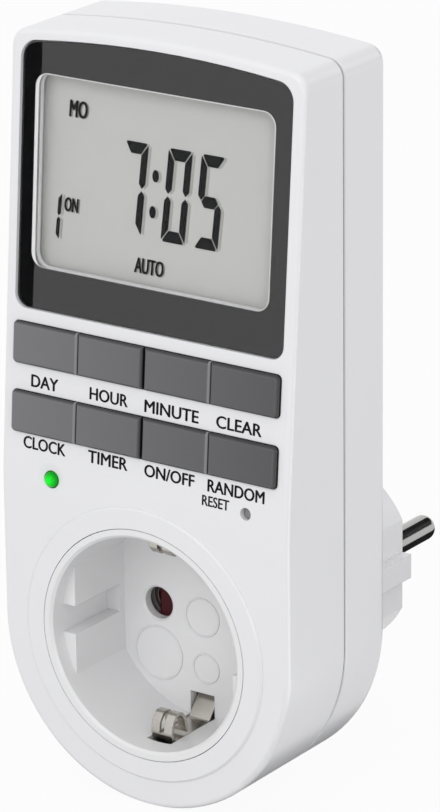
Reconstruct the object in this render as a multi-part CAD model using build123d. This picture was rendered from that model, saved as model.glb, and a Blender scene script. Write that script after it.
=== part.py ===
from build123d import *
import math
import os

# Digital timer switch that plugs into a wall outlet and has an outlet of its own in front.
# Millimetres. X to the viewer's right, Y into the wall, Z up.
# The origin is the middle of the plug's face, between its two pins, where it meets the wall outlet.

# Case
CASE_WIDTH = 60.8
CASE_TOP_Z = 107.2
TOP_ARCH_R = 240.0
TOP_CORNER_R = 3.2
FRONT_SHELL_DEPTH = 17.7
REAR_SHELL_DEPTH = 13.5
WALL = 2.0
DISPLAY_WALL = 3.0
INNER_CORNER_R = 0.6
FRONT_EDGE_R = 1.0
REAR_EDGE_R = 2.0
SEAM_GAP = 0.4
SEAM_CHAMFER = 0.25
TONGUE_LENGTH = 1.5
TONGUE_WALL = 0.9
FIT = 0.1

# Leaning display face above the bend line
FACE_TILT = 4.7
BEND_Z = 26.5
BEND_BLEND_R = 80.0

# Plug at the back
PLUG_LENGTH = 27.4
PLUG_R = 18.5
PLUG_FLAT = 2.1
PLUG_WALL = 1.8
PLUG_END_WALL = 3.0
PLUG_EDGE_CHAMFER = 0.6
PLUG_RIB_SUNK = 0.2
PLUG_RIB_HEIGHT = 4.6
PIN_SPACING = 19.0
PIN_R = 2.4
PIN_LENGTH = 19.0
PIN_TIP_R = 2.0
PIN_NECK_R = 2.0
PIN_COLLAR_R = 3.6
PIN_COLLAR_LENGTH = 1.5
PIN_TAIL = 9.0
PIN_CLEARANCE = 0.05
PIN_DISH_R = 3.1
PIN_DISH = 0.4
CARRIER_HALF_Z = 9.0
CARRIER_DEPTH = 5.0
CARRIER_GAP = 0.3

# Outlet at the front
RECESS_R = 19.75
RECESS_DEPTH = 18.0
CUP_WALL = 1.6
CUP_FLANGE = 1.55
CUP_FLANGE_THICKNESS = 1.5
CUP_HOLE_CLEARANCE = 0.12
CUP_RIM_CHAMFER = 0.5
RING_WIDTH = 3.95
RING_PROUD = 0.4
RING_CHAMFER = 0.35
FLOOR_THICKNESS = 2.0
PIN_HOLE_R = 3.0
PIN_HOLE_CHAMFER = 0.4
GUIDE_REACH = 2.85
GUIDE_START = 3.3
GUIDE_SLOT = 5.3
GUIDE_STEP = 1.5
EARTH_SLOT_WIDTH = 5.2
EARTH_SLOT_START = 4.5
EARTH_SLOT_ROOM = 0.8
MOULD_RING_WIDTH = 0.3
MOULD_RING_HEIGHT = 0.15
MOULD_RINGS = ((0.2, -0.6, 3.7), (-9.4, -9.4, 5.2), (0.9, -10.2, 2.9))

# Child protection slide behind the outlet floor
CHAMBER_DEPTH = 1.5
SHUTTER_PLAY = 0.1
SHUTTER_TRAVEL = 4.7
SHUTTER_FRAME = 0.9
SHUTTER_TAIL = 6.0
SHUTTER_RAMP = 0.9
SHUTTER_RAIL = 1.2

# Contacts
BLOCK_PLATE = 1.8
BLOCK_STEP = 0.15
BLOCK_SLOT_ROOM = 1.4
SHROUD_R = 4.4
SHROUD_LENGTH = 7.6
CONTACT_BORE_R = 2.45
CONTACT_WALL = 0.8
CONTACT_LENGTH = 13.5
CONTACT_SLOT = 1.0
SKIRT_WALL = 1.8
SOCKET_SCREW_INSET = 7.8
SOCKET_SCREW_Z = 12.0
SOCKET_SCREW_ROOM = 1.0
SOCKET_BOSS_R = 2.3

# Earth straps
STRAP_WIDTH = 4.4
STRAP_THICKNESS = 0.6
STRAP_SLIT = 1.0
STRAP_DEPTH = 2.5
STRAP_BASE_DROP = 0.35
STRAP_BEND_FRONT = 1.2
STRAP_BEND_BACK = 0.4
STRAP_END = 1.2
STRAP_BEND_R = 0.9
HOOP_RISE = 4.85
HOOP_FRONT = 5.2
HOOP_LENGTH = 4.3
HOOP_LEAN = 0.3
HOOP_CROWN = 0.3
HOOP_SHOULDER = 1.6
HOOP_FOOT = 0.5
HOOP_HEEL = 2.0
HOOP_LIP = 0.9
HOOP_LIP_REACH = 0.4
GROOVE_MARGIN = 6.3
GROOVE_WIDTH = 5.6
GROOVE_FLOOR = 1.4
BRIDGE_GAP = 1.4

# Display
LENS_SIDE = 2.3
LENS_BOTTOM = 30.4
LENS_TOP_MARGIN = 1.7
LENS_ARCH_R = 225.0
LENS_CORNER_TOP = 3.4
LENS_CORNER_BOTTOM = 2.4
LENS_SUNK = 0.6
LENS_THICKNESS = 1.5
LENS_GAP = 0.1
MASK_SIDE = 3.05
MASK_BOTTOM = 7.45
MASK_TOP = 6.9
WINDOW_CORNER_R = 2.6
GLASS_SIDE = 1.95
GLASS_BELOW = 3.35
GLASS_ABOVE = 3.4
GLASS_THICKNESS = 1.1
GLASS_LEDGE = 2.5
HOLDER_PLATE = 0.8
HOLDER_WALL = 0.8
HOLDER_BORDER = 0.35
GLASS_GAP = 0.1
ZEBRA_INSET = 2.0
ZEBRA_WIDTH = 1.8
CUSHION_WIDTH = 2.0

# Control board behind the display and keys
BOARD_DROP = 9.0
BOARD_THICKNESS = 1.6
BOARD_SIDE_GAP = 0.6
CONTROL_BOTTOM = -2.0
CONTROL_TOP_MARGIN = 1.4
POST_R = 2.0
POST_INSET = 2.4
POST_UPPER_RISE = 0.8
POST_LOWER_X = 11.5
POST_LOWER_A = 2.2
BOARD_SCREW_R = 0.9
BOARD_SCREW_HEAD_R = 1.8
BOARD_SCREW_HEAD = 1.2
BOARD_SCREW_LENGTH = 6.0
SCREW_CLEARANCE = 0.02
CHIP_SIZE = 12.0
CHIP_HEIGHT = 1.6
CHIP_A = 48.0
CRYSTAL_R = 1.0
CRYSTAL_LENGTH = 6.0
CRYSTAL_X = -14.0

# Keys
KEY_SIDE = 2.4
KEY_GAP = 0.08
KEY_MIDDLE_GAP = 0.45
KEY_HEIGHT = 7.45
KEY_ROW_UPPER = 24.15
KEY_ROW_LOWER = 11.73
KEY_PROUD = 1.0
KEY_BEVEL = 0.5
KEY_CORNER_R = 0.8
KEY_CLEARANCE = 0.12
KEY_FLANGE = 0.7
KEY_FLANGE_THICKNESS = 0.9
KEY_STEM_R = 2.2
KEY_REST_GAP = 0.1
KEY_TRAVEL = 0.4
SWITCH_SIZE = 6.0
SWITCH_HEIGHT = 3.5
PLUNGER_R = 1.7
PLUNGER_CLEARANCE = 0.05
PLUNGER_TOP = 4.9
PLUNGER_REST_GAP = 0.1
SWITCH_FLOOR = 0.1

# Reset button, reached through a small hole
RESET_SIDE = 8.6
RESET_A = 2.4
RESET_HOLE_R = 1.1
RESET_PIN_R = 0.95
RESET_SUNK = 1.0
RESET_FLANGE_R = 1.8

# Indicator lamp
LED_SIDE = 10.9
LED_A = 0.4
LED_R = 1.5
LED_HOLE_R = 1.6
LED_PROUD = 0.8
LED_BODY_BOTTOM = 5.0
LED_FLANGE_R = 1.9
LED_FLANGE = 1.0
LED_DISH_R = 3.0
LED_DISH = 0.3
LEAD_SPACING = 2.54
LEAD_SIZE = 0.5

# Power board against the rear wall
POWER_STANDOFF = 1.5
POWER_SIDE_GAP = 1.4
POWER_BOTTOM_GAP = 2.6
POWER_TOP_GAP = 7.2
POWER_SCREW_INSET = 3.0
POWER_POST_R = 2.4
RELAY = (16.5, 10.9, 22.0)
RELAY_INSET = 11.0
RELAY_ABOVE = 17.0
X2_CAPACITOR = (18.0, 10.5, 7.0)
X2_INSET = 15.0
X2_ABOVE = 11.0
DROPPER_R = 2.0
DROPPER_LENGTH = 12.0
DROPPER_INSET = 17.0
DROPPER_ABOVE = 19.5
VARISTOR_R = 4.5
VARISTOR_THICKNESS = 4.0
VARISTOR_INSET = 5.0
VARISTOR_ABOVE = 26.5
DIODE_R = 1.35
DIODE_LENGTH = 5.0
DIODE_X = 2.0
DIODE_SPACING = 4.0
DIODE_ABOVE = 34.5
SMOOTHING_R = 4.0
SMOOTHING_LENGTH = 11.5
SMOOTHING_INSET = 9.0
SMOOTHING_ABOVE = 38.5
BATTERY_R = 7.5
BATTERY_HEIGHT = 6.0
BATTERY_X = 8.0
BATTERY_BELOW = 17.0
LINK_PINS = 8
LINK_SPACING = 2.54
LINK_INSET = 15.0
LINK_BELOW = 8.0
LINK_BODY = 2.5
LINK_PIN = 0.6
SEAT_GAP = 0.05

# Busbars
BAR_WIDTH = 3.0
FEED_WIDTH = 2.6
BAR_THICKNESS = 0.8
BAR_BEND_R = 0.8
BAR_LOW_Z = 7.5
BAR_HIGH_Z = 9.0
BAR_LAP = 4.0
FEED_OFFSET = 3.4
BAR_TAP = 2.0
BAR_PAD_HALF_Z = 2.0

# Case screws, from the back
UPPER_SCREW_SIDE = 6.1
UPPER_SCREW_Z = 17.0
LOWER_SCREW_ANGLE = 50.1
LOWER_SCREW_GAP = 0.15
CASE_SCREW_R = 1.25
CASE_SCREW_HEAD_R = 2.5
CASE_SCREW_HEAD = 1.8
CASE_SCREW_LENGTH = 18.5
CASE_SCREW_HOLE_R = 1.45
COUNTERBORE_R = 2.7
COUNTERBORE_DEPTH = 3.0
FRONT_BOSS_R = 2.5
REAR_BOSS_R = 3.2
SCREW_TIP_ROOM = 2.0
SCREW_SLOT = 4.0
SCREW_SLOT_WIDTH = 0.8
SUPPORT_POST_R = 1.8
SUPPORT_INSET = 3.6
SUPPORT_Z = 8.5

# Snap hooks at the top
HOOK_X = 14.0
HOOK_HALF_WIDTH = 3.0
HOOK_REACH = 5.0
HOOK_THICKNESS = 1.2
HOOK_DROP = 0.3
HOOK_NIB = 1.2
HOOK_NIB_LENGTH = 1.0
HOOK_ROOT = 4.0
HOOK_POCKET = 4.0
HOOK_PLAY = 0.2

# Derived sizes
HALF_WIDTH = CASE_WIDTH / 2
CUP_R = RECESS_R + CUP_WALL
CUP_FLANGE_R = CUP_R + CUP_FLANGE
RING_R = CUP_R + RING_WIDTH
GUIDE_FLAT_X = RECESS_R - GUIDE_REACH
BLOCK_R = CUP_R - BLOCK_STEP
PLUG_FLAT_X = PLUG_R - PLUG_FLAT
PLUG_RIB_X = PLUG_R - PLUG_RIB_SUNK
CARRIER_HALF_X = PLUG_FLAT_X - PLUG_WALL - CARRIER_GAP
STRAP_Z = PLUG_R - STRAP_DEPTH
EARTH_SLOT_INNER_Z = STRAP_Z - EARTH_SLOT_ROOM
BLOCK_SLOT_INNER_Z = STRAP_Z - BLOCK_SLOT_ROOM
STRAP_BASE_Z = RECESS_R + STRAP_BASE_DROP
HOOP_TOP_Z = RECESS_R - HOOP_RISE
GROOVE_LENGTH = PLUG_LENGTH - GROOVE_MARGIN
GROOVE_FLOOR_HALF_X = GROOVE_WIDTH / 2 + GROOVE_FLOOR
LENS_HALF_X = HALF_WIDTH - LENS_SIDE
LENS_TOP = CASE_TOP_Z - BEND_Z - LENS_TOP_MARGIN
WINDOW_HALF_X = LENS_HALF_X - MASK_SIDE
WINDOW_BOTTOM = LENS_BOTTOM + MASK_BOTTOM
WINDOW_TOP = LENS_TOP - MASK_TOP
GLASS_HALF_X = WINDOW_HALF_X + GLASS_SIDE
GLASS_BOTTOM = WINDOW_BOTTOM - GLASS_BELOW
GLASS_TOP = WINDOW_TOP + GLASS_ABOVE
ZEBRA_HALF_X = GLASS_HALF_X - ZEBRA_INSET
CONTROL_HALF_X = HALF_WIDTH - WALL - BOARD_SIDE_GAP
CONTROL_TOP = GLASS_TOP + CONTROL_TOP_MARGIN
POST_UPPER = (CONTROL_HALF_X - POST_INSET, LENS_BOTTOM + POST_UPPER_RISE)
POST_LOWER = (POST_LOWER_X, POST_LOWER_A)
KEY_PITCH = (HALF_WIDTH - KEY_SIDE) / 2
RESET_X = HALF_WIDTH - RESET_SIDE
LED_X = LED_SIDE - HALF_WIDTH
POWER_HALF_X = HALF_WIDTH - WALL - POWER_SIDE_GAP
POWER_BOTTOM_Z = CUP_FLANGE_R + POWER_BOTTOM_GAP
POWER_TOP_Z = CASE_TOP_Z - POWER_TOP_GAP
LOWER_SCREW_R = CUP_FLANGE_R + FRONT_BOSS_R + LOWER_SCREW_GAP
SUPPORT_POST = (BLOCK_R - SUPPORT_INSET, SUPPORT_Z)

# Derived places
REAR_Y = -PLUG_LENGTH
SEAM_Y = REAR_Y - REAR_SHELL_DEPTH
FRONT_Y = SEAM_Y - FRONT_SHELL_DEPTH
REAR_INNER_Y = REAR_Y - WALL
FRONT_INNER_Y = FRONT_Y + WALL
RIM_Y = FRONT_Y - RING_PROUD
FLOOR_Y = RIM_Y + RECESS_DEPTH
FLOOR_BACK_Y = FLOOR_Y + FLOOR_THICKNESS
CHAMBER_Y = FLOOR_BACK_Y + CHAMBER_DEPTH
BLOCK_BACK_Y = CHAMBER_Y + BLOCK_PLATE
POWER_BACK_Y = REAR_INNER_Y - POWER_STANDOFF
POWER_FRONT_Y = POWER_BACK_Y - BOARD_THICKNESS
PIN_X = PIN_SPACING / 2
FEED_X = -PIN_X - FEED_OFFSET
BRIDGE_Y = REAR_Y - BRIDGE_GAP
BAR_TOP_Z = POWER_BOTTOM_Z + BAR_LAP
LINK_X = LINK_INSET - POWER_HALF_X
LINK_Z = POWER_TOP_Z - LINK_BELOW
GLASS_FRONT = -DISPLAY_WALL - HOLDER_PLATE
BOARD_BACK = -BOARD_DROP - BOARD_THICKNESS
TILT = math.radians(FACE_TILT)
FACE = Plane((0, FRONT_Y, BEND_Z), x_dir=(1, 0, 0), z_dir=(0, -math.cos(TILT), math.sin(TILT))).location
REACH = 300.0


def upright(y):
    """Frame standing in the X-Z plane at y, its own Z pointing out of the front."""
    return Plane((0, y, 0), x_dir=(1, 0, 0), z_dir=(0, -1, 0)).location


def block(x0, x1, y0, y1, z0, z1):
    """Box between two corners."""
    middle = Pos((x0 + x1) / 2, (y0 + y1) / 2, (z0 + z1) / 2)
    return middle * Box(x1 - x0, y1 - y0, z1 - z0)


def rod_y(x, z, y0, y1, radius):
    """Round bar along Y."""
    return Pos(x, (y0 + y1) / 2, z) * Rot(90, 0, 0) * Cylinder(radius, y1 - y0)


def rod(x, a, h0, h1, radius):
    """Round bar square to the display face, in the face's own frame."""
    return Pos(x, a, (h0 + h1) / 2) * Cylinder(radius, h1 - h0)


def slab_y(outline, y0, y1):
    """Outline drawn in X-Z, made solid between two depths."""
    return upright(y1) * extrude(outline, y1 - y0)


def arched_outline(half, bottom, top, arch_r, corner_bottom, corner_top):
    """Rectangle with a gently arched top edge and rounded corners."""
    rise = top - arch_r
    shoulder = rise + math.sqrt(arch_r**2 - half**2)
    left = Line((-half, shoulder), (-half, bottom))
    base = Line((-half, bottom), (half, bottom))
    right = Line((half, bottom), (half, shoulder))
    arch = ThreePointArc((half, shoulder), (0, top), (-half, shoulder))
    face = make_face(left + base + right + arch)
    upper = [v for v in face.vertices() if v.Y > (bottom + shoulder) / 2]
    face = fillet(upper, corner_top)
    lower = [v for v in face.vertices() if v.Y < bottom + 0.01]
    return fillet(lower, corner_bottom)


def case_outline(inset, corner):
    """Front view of the case: half round at the bottom, gently arched on top."""
    half = HALF_WIDTH - inset
    arch_r = TOP_ARCH_R - inset
    rise = CASE_TOP_Z - TOP_ARCH_R
    shoulder = rise + math.sqrt(arch_r**2 - half**2)
    left = Line((-half, shoulder), (-half, 0))
    base = ThreePointArc((-half, 0), (0, -half), (half, 0))
    right = Line((half, 0), (half, shoulder))
    arch = ThreePointArc((half, shoulder), (0, rise + arch_r), (-half, shoulder))
    face = make_face(left + base + right + arch)
    upper = [v for v in face.vertices() if v.Y > half]
    return fillet(upper, corner)


def in_front_of_face(depth):
    """Everything in front of the leaning face, from a depth below it."""
    return FACE * Pos(0, 0, REACH / 2 - depth) * Box(REACH, REACH, REACH)


def front_body(inset, depth, corner):
    """Solid of the front shell's shape, all round smaller by inset and set back by depth."""
    body = slab_y(case_outline(inset, corner), FRONT_Y + depth, SEAM_Y)
    return body - in_front_of_face(depth)


def front_faces(body):
    """Faces of a body that look out of the front."""
    return [f for f in body.faces() if f.normal_at(f.center()).Y < -math.cos(2 * TILT)]


def rim_edges(faces):
    """Edges round a group of faces, without those that two of them share."""
    edges = [e for f in faces for e in f.edges()]
    return [e for e in edges if sum(1 for other in edges if other.is_same(e)) == 1]


def side_profile():
    """Side view of the front shell: upright below, blended into the leaning display face."""
    run = BEND_BLEND_R * math.tan(TILT / 2)
    low = (FRONT_Y, BEND_Z - run)
    high = (FRONT_Y + run * math.sin(TILT), BEND_Z + run * math.cos(TILT))
    middle_y = FRONT_Y + BEND_BLEND_R * (1 - math.cos(TILT / 2))
    middle_z = BEND_Z - run + BEND_BLEND_R * math.sin(TILT / 2)
    far = (high[0] + REACH / 2 * math.sin(TILT), high[1] + REACH / 2 * math.cos(TILT))
    back_y = far[0] + FRONT_SHELL_DEPTH
    outline = Line((FRONT_Y, -REACH / 2), low)
    outline += ThreePointArc(low, (middle_y, middle_z), high)
    outline += Polyline(high, far, (back_y, far[1]), (back_y, -REACH / 2), (FRONT_Y, -REACH / 2))
    side = Plane((-CASE_WIDTH, 0, 0), x_dir=(0, 1, 0), z_dir=(1, 0, 0)).location
    return side * extrude(make_face(outline), 2 * CASE_WIDTH)


def rounded_front_body():
    """Outer skin of the front shell: bend blended, front edge rounded."""
    body = slab_y(case_outline(0, TOP_CORNER_R), FRONT_Y - 1, SEAM_Y) & side_profile()
    body = fillet(rim_edges(front_faces(body)), FRONT_EDGE_R)
    seam = [e for e in body.edges() if abs(e.center().Y - SEAM_Y) < 0.01]
    return chamfer(seam, SEAM_CHAMFER)


def lens_outline(gap):
    """Outline of the display lens, grown all round by gap."""
    return arched_outline(
        LENS_HALF_X + gap,
        LENS_BOTTOM - gap,
        LENS_TOP + gap,
        LENS_ARCH_R + gap,
        LENS_CORNER_BOTTOM + gap,
        LENS_CORNER_TOP + gap,
    )


def window_outline(grow):
    """Outline of the viewing window, grown all round."""
    width = 2 * (WINDOW_HALF_X + grow)
    height = WINDOW_TOP - WINDOW_BOTTOM + 2 * grow
    middle = (WINDOW_TOP + WINDOW_BOTTOM) / 2
    return Pos(0, middle) * RectangleRounded(width, height, WINDOW_CORNER_R)


def key_places():
    """Middle of each key in the face's frame: upper row, then lower row, left to right."""
    rows = (KEY_ROW_UPPER, KEY_ROW_LOWER)
    return [((column - 1.5) * KEY_PITCH, a) for a in rows for column in range(4)]


def key_window(a):
    """Opening for one row of keys."""
    half_x = 2 * KEY_PITCH + KEY_CLEARANCE
    half_a = KEY_HEIGHT / 2 + KEY_CLEARANCE
    opening = block(-half_x, half_x, a - half_a, a + half_a, -BOARD_DROP, BOARD_DROP)
    return FACE * fillet(opening.edges().filter_by(Axis.Z), KEY_CORNER_R + KEY_CLEARANCE)


def control_posts():
    """Places of the posts that carry the control board, in the face's frame."""
    return [(side * x, a) for x, a in (POST_UPPER, POST_LOWER) for side in (-1, 1)]


def case_screw_places():
    """Places of the case screws: two above the outlet, two outside the cup's flange below."""
    angle = math.radians(LOWER_SCREW_ANGLE)
    upper = (HALF_WIDTH - UPPER_SCREW_SIDE, UPPER_SCREW_Z)
    lower = (LOWER_SCREW_R * math.cos(angle), -LOWER_SCREW_R * math.sin(angle))
    return [(side * x, z) for x, z in (upper, lower) for side in (-1, 1)]


def inside_case(shape):
    """Part of a boss that stays within the case's side wall."""
    return shape & slab_y(case_outline(WALL / 2, INNER_CORNER_R), FRONT_Y, REAR_Y)


def hook_top(clear):
    """Height of the top of a snap hook, from the inside of the top wall at its outer side."""
    outer = HOOK_X + HOOK_HALF_WIDTH
    inner_arch = TOP_ARCH_R - WALL
    return CASE_TOP_Z - TOP_ARCH_R + math.sqrt(inner_arch**2 - outer**2) - clear


def front_cover():
    """Front shell with the display recess, key openings, ring and outlet hole."""
    cover = rounded_front_body()
    cavity = front_body(WALL, WALL, INNER_CORNER_R)
    display_top = REACH
    lip_a = LENS_BOTTOM - LENS_GAP - (DISPLAY_WALL - WALL)
    cavity -= FACE * block(-REACH, REACH, lip_a, display_top, -DISPLAY_WALL, 0)
    cover -= cavity
    rebate = case_outline(WALL - TONGUE_WALL - FIT, INNER_CORNER_R)
    cover -= slab_y(rebate, SEAM_Y - TONGUE_LENGTH - 2 * FIT, SEAM_Y)
    ring = rod_y(0, 0, RIM_Y, FRONT_Y + WALL / 2, RING_R)
    ring = chamfer(ring.faces().sort_by(Axis.Y)[0].edges(), RING_CHAMFER)
    cover += ring
    cover -= rod_y(0, 0, RIM_Y - 1, FRONT_INNER_Y + 1, CUP_R + CUP_HOLE_CLEARANCE)
    cover -= FACE * Pos(0, 0, -LENS_SUNK - LENS_THICKNESS) * extrude(lens_outline(LENS_GAP), BOARD_DROP)
    cover -= FACE * Pos(0, 0, -BOARD_DROP) * extrude(window_outline(0), 2 * BOARD_DROP)
    for a in (KEY_ROW_UPPER, KEY_ROW_LOWER):
        cover -= key_window(a)
    cover -= FACE * rod(RESET_X, RESET_A, -BOARD_DROP, BOARD_DROP, RESET_HOLE_R)
    cover -= FACE * rod(LED_X, LED_A, -BOARD_DROP, BOARD_DROP, LED_HOLE_R)
    dish = Pos(LED_X, LED_A, -LED_DISH / 2) * Cone(LED_HOLE_R, LED_DISH_R, LED_DISH)
    cover -= FACE * dish
    for x, a in control_posts():
        start = -DISPLAY_WALL if a > lip_a else -WALL
        post = rod(x, a, -BOARD_DROP, start, POST_R)
        post -= rod(x, a, -BOARD_DROP, start - FIT, BOARD_SCREW_R + SCREW_CLEARANCE)
        cover += FACE * post
    for x, z in case_screw_places():
        cover += inside_case(rod_y(x, z, FRONT_INNER_Y, SEAM_Y - FIT, FRONT_BOSS_R))
        tip = SEAM_Y - CASE_SCREW_LENGTH + REAR_SHELL_DEPTH - COUNTERBORE_DEPTH - SCREW_TIP_ROOM
        cover -= rod_y(x, z, tip, SEAM_Y, CASE_SCREW_R + SCREW_CLEARANCE)
    for side in (-1, 1):
        y0 = SEAM_Y - HOOK_REACH - HOOK_PLAY
        y1 = y0 + HOOK_NIB_LENGTH + 2 * HOOK_PLAY
        half = HOOK_HALF_WIDTH + HOOK_PLAY
        top = hook_top(HOOK_DROP) + HOOK_NIB + HOOK_PLAY
        x = side * HOOK_X
        cover -= block(x - half, x + half, y0, y1, top - HOOK_POCKET, top)
    return cover


def plug_outline(inset):
    """Face view of the plug body: a circle with a flat on each side."""
    half_x = PLUG_FLAT_X - inset
    return Circle(PLUG_R - inset) & Rectangle(2 * half_x, 2 * PLUG_R)


def plug_grooves(inner_z, y0, y1, half_x):
    """Two blocks over the earth contacts of the plug, top and bottom."""
    upper = block(-half_x, half_x, y0, y1, inner_z, PLUG_R + 1)
    return upper + mirror(upper, Plane.XY)


def rear_cover():
    """Rear shell with the plug body, the board posts and the screw bosses."""
    shell = slab_y(case_outline(0, TOP_CORNER_R), SEAM_Y + SEAM_GAP, REAR_Y)
    back = shell.faces().sort_by(Axis.Y)[-1]
    shell = fillet(back.edges(), REAR_EDGE_R)
    seam = [e for e in shell.edges() if abs(e.center().Y - SEAM_Y - SEAM_GAP) < 0.01]
    shell = chamfer(seam, SEAM_CHAMFER)
    shell -= slab_y(case_outline(WALL, INNER_CORNER_R), SEAM_Y, REAR_INNER_Y)
    tongue = slab_y(case_outline(WALL - TONGUE_WALL, INNER_CORNER_R), SEAM_Y - TONGUE_LENGTH, REAR_INNER_Y)
    tongue -= slab_y(case_outline(WALL, INNER_CORNER_R), SEAM_Y - 2 * TONGUE_LENGTH, REAR_Y)
    shell += tongue
    plug = slab_y(plug_outline(0), REAR_INNER_Y, 0)
    plug += block(-PLUG_RIB_X, PLUG_RIB_X, REAR_INNER_Y, 0, -PLUG_RIB_HEIGHT / 2, PLUG_RIB_HEIGHT / 2)
    plug = chamfer(plug.faces().sort_by(Axis.Y)[-1].edges(), PLUG_EDGE_CHAMFER)
    cavity = slab_y(plug_outline(PLUG_WALL), SEAM_Y, -PLUG_END_WALL)
    groove_z = STRAP_Z - STRAP_THICKNESS / 2
    shell += plug
    shell -= cavity
    floors = plug_grooves(groove_z - GROOVE_FLOOR, -GROOVE_LENGTH, 0, GROOVE_FLOOR_HALF_X)
    shell += floors & slab_y(plug_outline(PLUG_WALL / 2), -GROOVE_LENGTH, -PLUG_END_WALL / 2)
    shell -= plug_grooves(groove_z, -GROOVE_LENGTH, 1, GROOVE_WIDTH / 2)
    for x in (-PIN_X, PIN_X):
        shell -= rod_y(x, 0, -2 * PLUG_END_WALL, 1, PIN_NECK_R + PIN_CLEARANCE)
        shell -= rod_y(x, 0, -PIN_DISH, 1, PIN_DISH_R)
    for x, z in case_screw_places():
        shell += inside_case(rod_y(x, z, SEAM_Y, REAR_INNER_Y, REAR_BOSS_R))
        shell -= rod_y(x, z, SEAM_Y - 1, REAR_Y + 1, CASE_SCREW_HOLE_R)
        shell -= rod_y(x, z, REAR_Y - COUNTERBORE_DEPTH, REAR_Y + 1, COUNTERBORE_R)
    for x, z in power_screw_places():
        post = rod_y(x, z, POWER_BACK_Y, REAR_INNER_Y, POWER_POST_R)
        shell += post
        shell -= rod_y(x, z, POWER_BACK_Y - 1, REAR_Y - WALL / 2, BOARD_SCREW_R + SCREW_CLEARANCE)
    for sx in (-1, 1):
        for sz in (-1, 1):
            x, z = sx * SUPPORT_POST[0], sz * SUPPORT_POST[1]
            shell += rod_y(x, z, BLOCK_BACK_Y + SEAT_GAP, REAR_INNER_Y, SUPPORT_POST_R)
    top = hook_top(HOOK_DROP)
    for side in (-1, 1):
        x0 = side * HOOK_X - HOOK_HALF_WIDTH
        x1 = side * HOOK_X + HOOK_HALF_WIDTH
        front = SEAM_Y - HOOK_REACH
        hook = block(x0, x1, front, SEAM_Y + HOOK_ROOT, top - HOOK_THICKNESS, top)
        hook += block(x0, x1, front, front + HOOK_NIB_LENGTH, top - HOOK_THICKNESS, top + HOOK_NIB)
        hook += block(x0, x1, SEAM_Y + SEAM_GAP + 1, SEAM_Y + HOOK_ROOT, top - HOOK_THICKNESS, top + HOOK_NIB)
        shell += hook
    return shell


def power_screw_places():
    """Places of the screws that hold the power board."""
    heights = (POWER_BOTTOM_Z + POWER_SCREW_INSET, POWER_TOP_Z - POWER_SCREW_INSET)
    x = POWER_HALF_X - POWER_SCREW_INSET
    return [(side * x, z) for z in heights for side in (-1, 1)]


def display_lens():
    """Clear window with a printed mask, let into the front."""
    lens = extrude(lens_outline(0), LENS_THICKNESS)
    return FACE * Pos(0, 0, -LENS_SUNK - LENS_THICKNESS) * lens


def lcd_holder():
    """White frame that holds the display glass against the front cover."""
    half_x = GLASS_HALF_X + GLASS_GAP + HOLDER_WALL
    low = GLASS_BOTTOM - GLASS_GAP - HOLDER_WALL
    high = GLASS_TOP + GLASS_GAP + HOLDER_WALL
    holder = block(-half_x, half_x, low, high, -BOARD_DROP, -DISPLAY_WALL)
    inner_x = half_x - HOLDER_WALL
    inner_low = low + HOLDER_WALL
    holder -= block(-inner_x, inner_x, inner_low, high - HOLDER_WALL, -BOARD_DROP - 1, GLASS_FRONT)
    holder -= Pos(0, 0, -BOARD_DROP) * extrude(window_outline(HOLDER_BORDER), BOARD_DROP)
    return FACE * holder


def lcd_front_glass():
    """Front glass of the display cell."""
    back = GLASS_FRONT - GLASS_THICKNESS
    return FACE * block(-GLASS_HALF_X, GLASS_HALF_X, GLASS_BOTTOM, GLASS_TOP, back, GLASS_FRONT)


def lcd_rear_glass():
    """Rear glass of the display cell, shorter at the contact ledge."""
    front = GLASS_FRONT - GLASS_THICKNESS
    low = GLASS_BOTTOM + GLASS_LEDGE
    return FACE * block(-GLASS_HALF_X, GLASS_HALF_X, low, GLASS_TOP, front - GLASS_THICKNESS, front)


def zebra_strip():
    """Elastic contact strip between the display glass and the control board."""
    low = GLASS_BOTTOM + (GLASS_LEDGE - ZEBRA_WIDTH) / 2
    top = GLASS_FRONT - GLASS_THICKNESS
    return FACE * block(-ZEBRA_HALF_X, ZEBRA_HALF_X, low, low + ZEBRA_WIDTH, -BOARD_DROP, top)


def lcd_cushion():
    """Foam strip that backs the display glass at its upper edge."""
    high = GLASS_TOP - FIT
    top = GLASS_FRONT - 2 * GLASS_THICKNESS
    return FACE * block(-ZEBRA_HALF_X, ZEBRA_HALF_X, high - CUSHION_WIDTH, high, -BOARD_DROP, top)


def control_board():
    """Board with the key switches in front and the controller behind."""
    board = block(-CONTROL_HALF_X, CONTROL_HALF_X, CONTROL_BOTTOM, CONTROL_TOP, BOARD_BACK, -BOARD_DROP)
    for x, a in control_posts():
        board -= rod(x, a, BOARD_BACK - 1, -BOARD_DROP + 1, BOARD_SCREW_R + FIT)
    return FACE * board


def control_board_screws():
    """Screws through the control board into the posts of the front cover."""
    screws = []
    for x, a in control_posts():
        screw = rod(x, a, BOARD_BACK, BOARD_BACK + BOARD_SCREW_LENGTH, BOARD_SCREW_R)
        screw += rod(x, a, BOARD_BACK - BOARD_SCREW_HEAD, BOARD_BACK, BOARD_SCREW_HEAD_R)
        screws.append(FACE * screw)
    return Compound(screws)


def controller_chip():
    """Controller in its flat package behind the display."""
    half = CHIP_SIZE / 2
    return FACE * block(-half, half, CHIP_A - half, CHIP_A + half, BOARD_BACK - CHIP_HEIGHT, BOARD_BACK)


def crystal():
    """Watch crystal lying on the back of the control board."""
    place = Pos(CRYSTAL_X, CHIP_A, BOARD_BACK - CRYSTAL_R - SEAT_GAP)
    return FACE * place * Rot(0, 90, 0) * Cylinder(CRYSTAL_R, CRYSTAL_LENGTH)


def switch_places():
    """Places of all the small switches: eight for the keys, one for the reset button."""
    return key_places() + [(RESET_X, RESET_A)]


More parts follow.
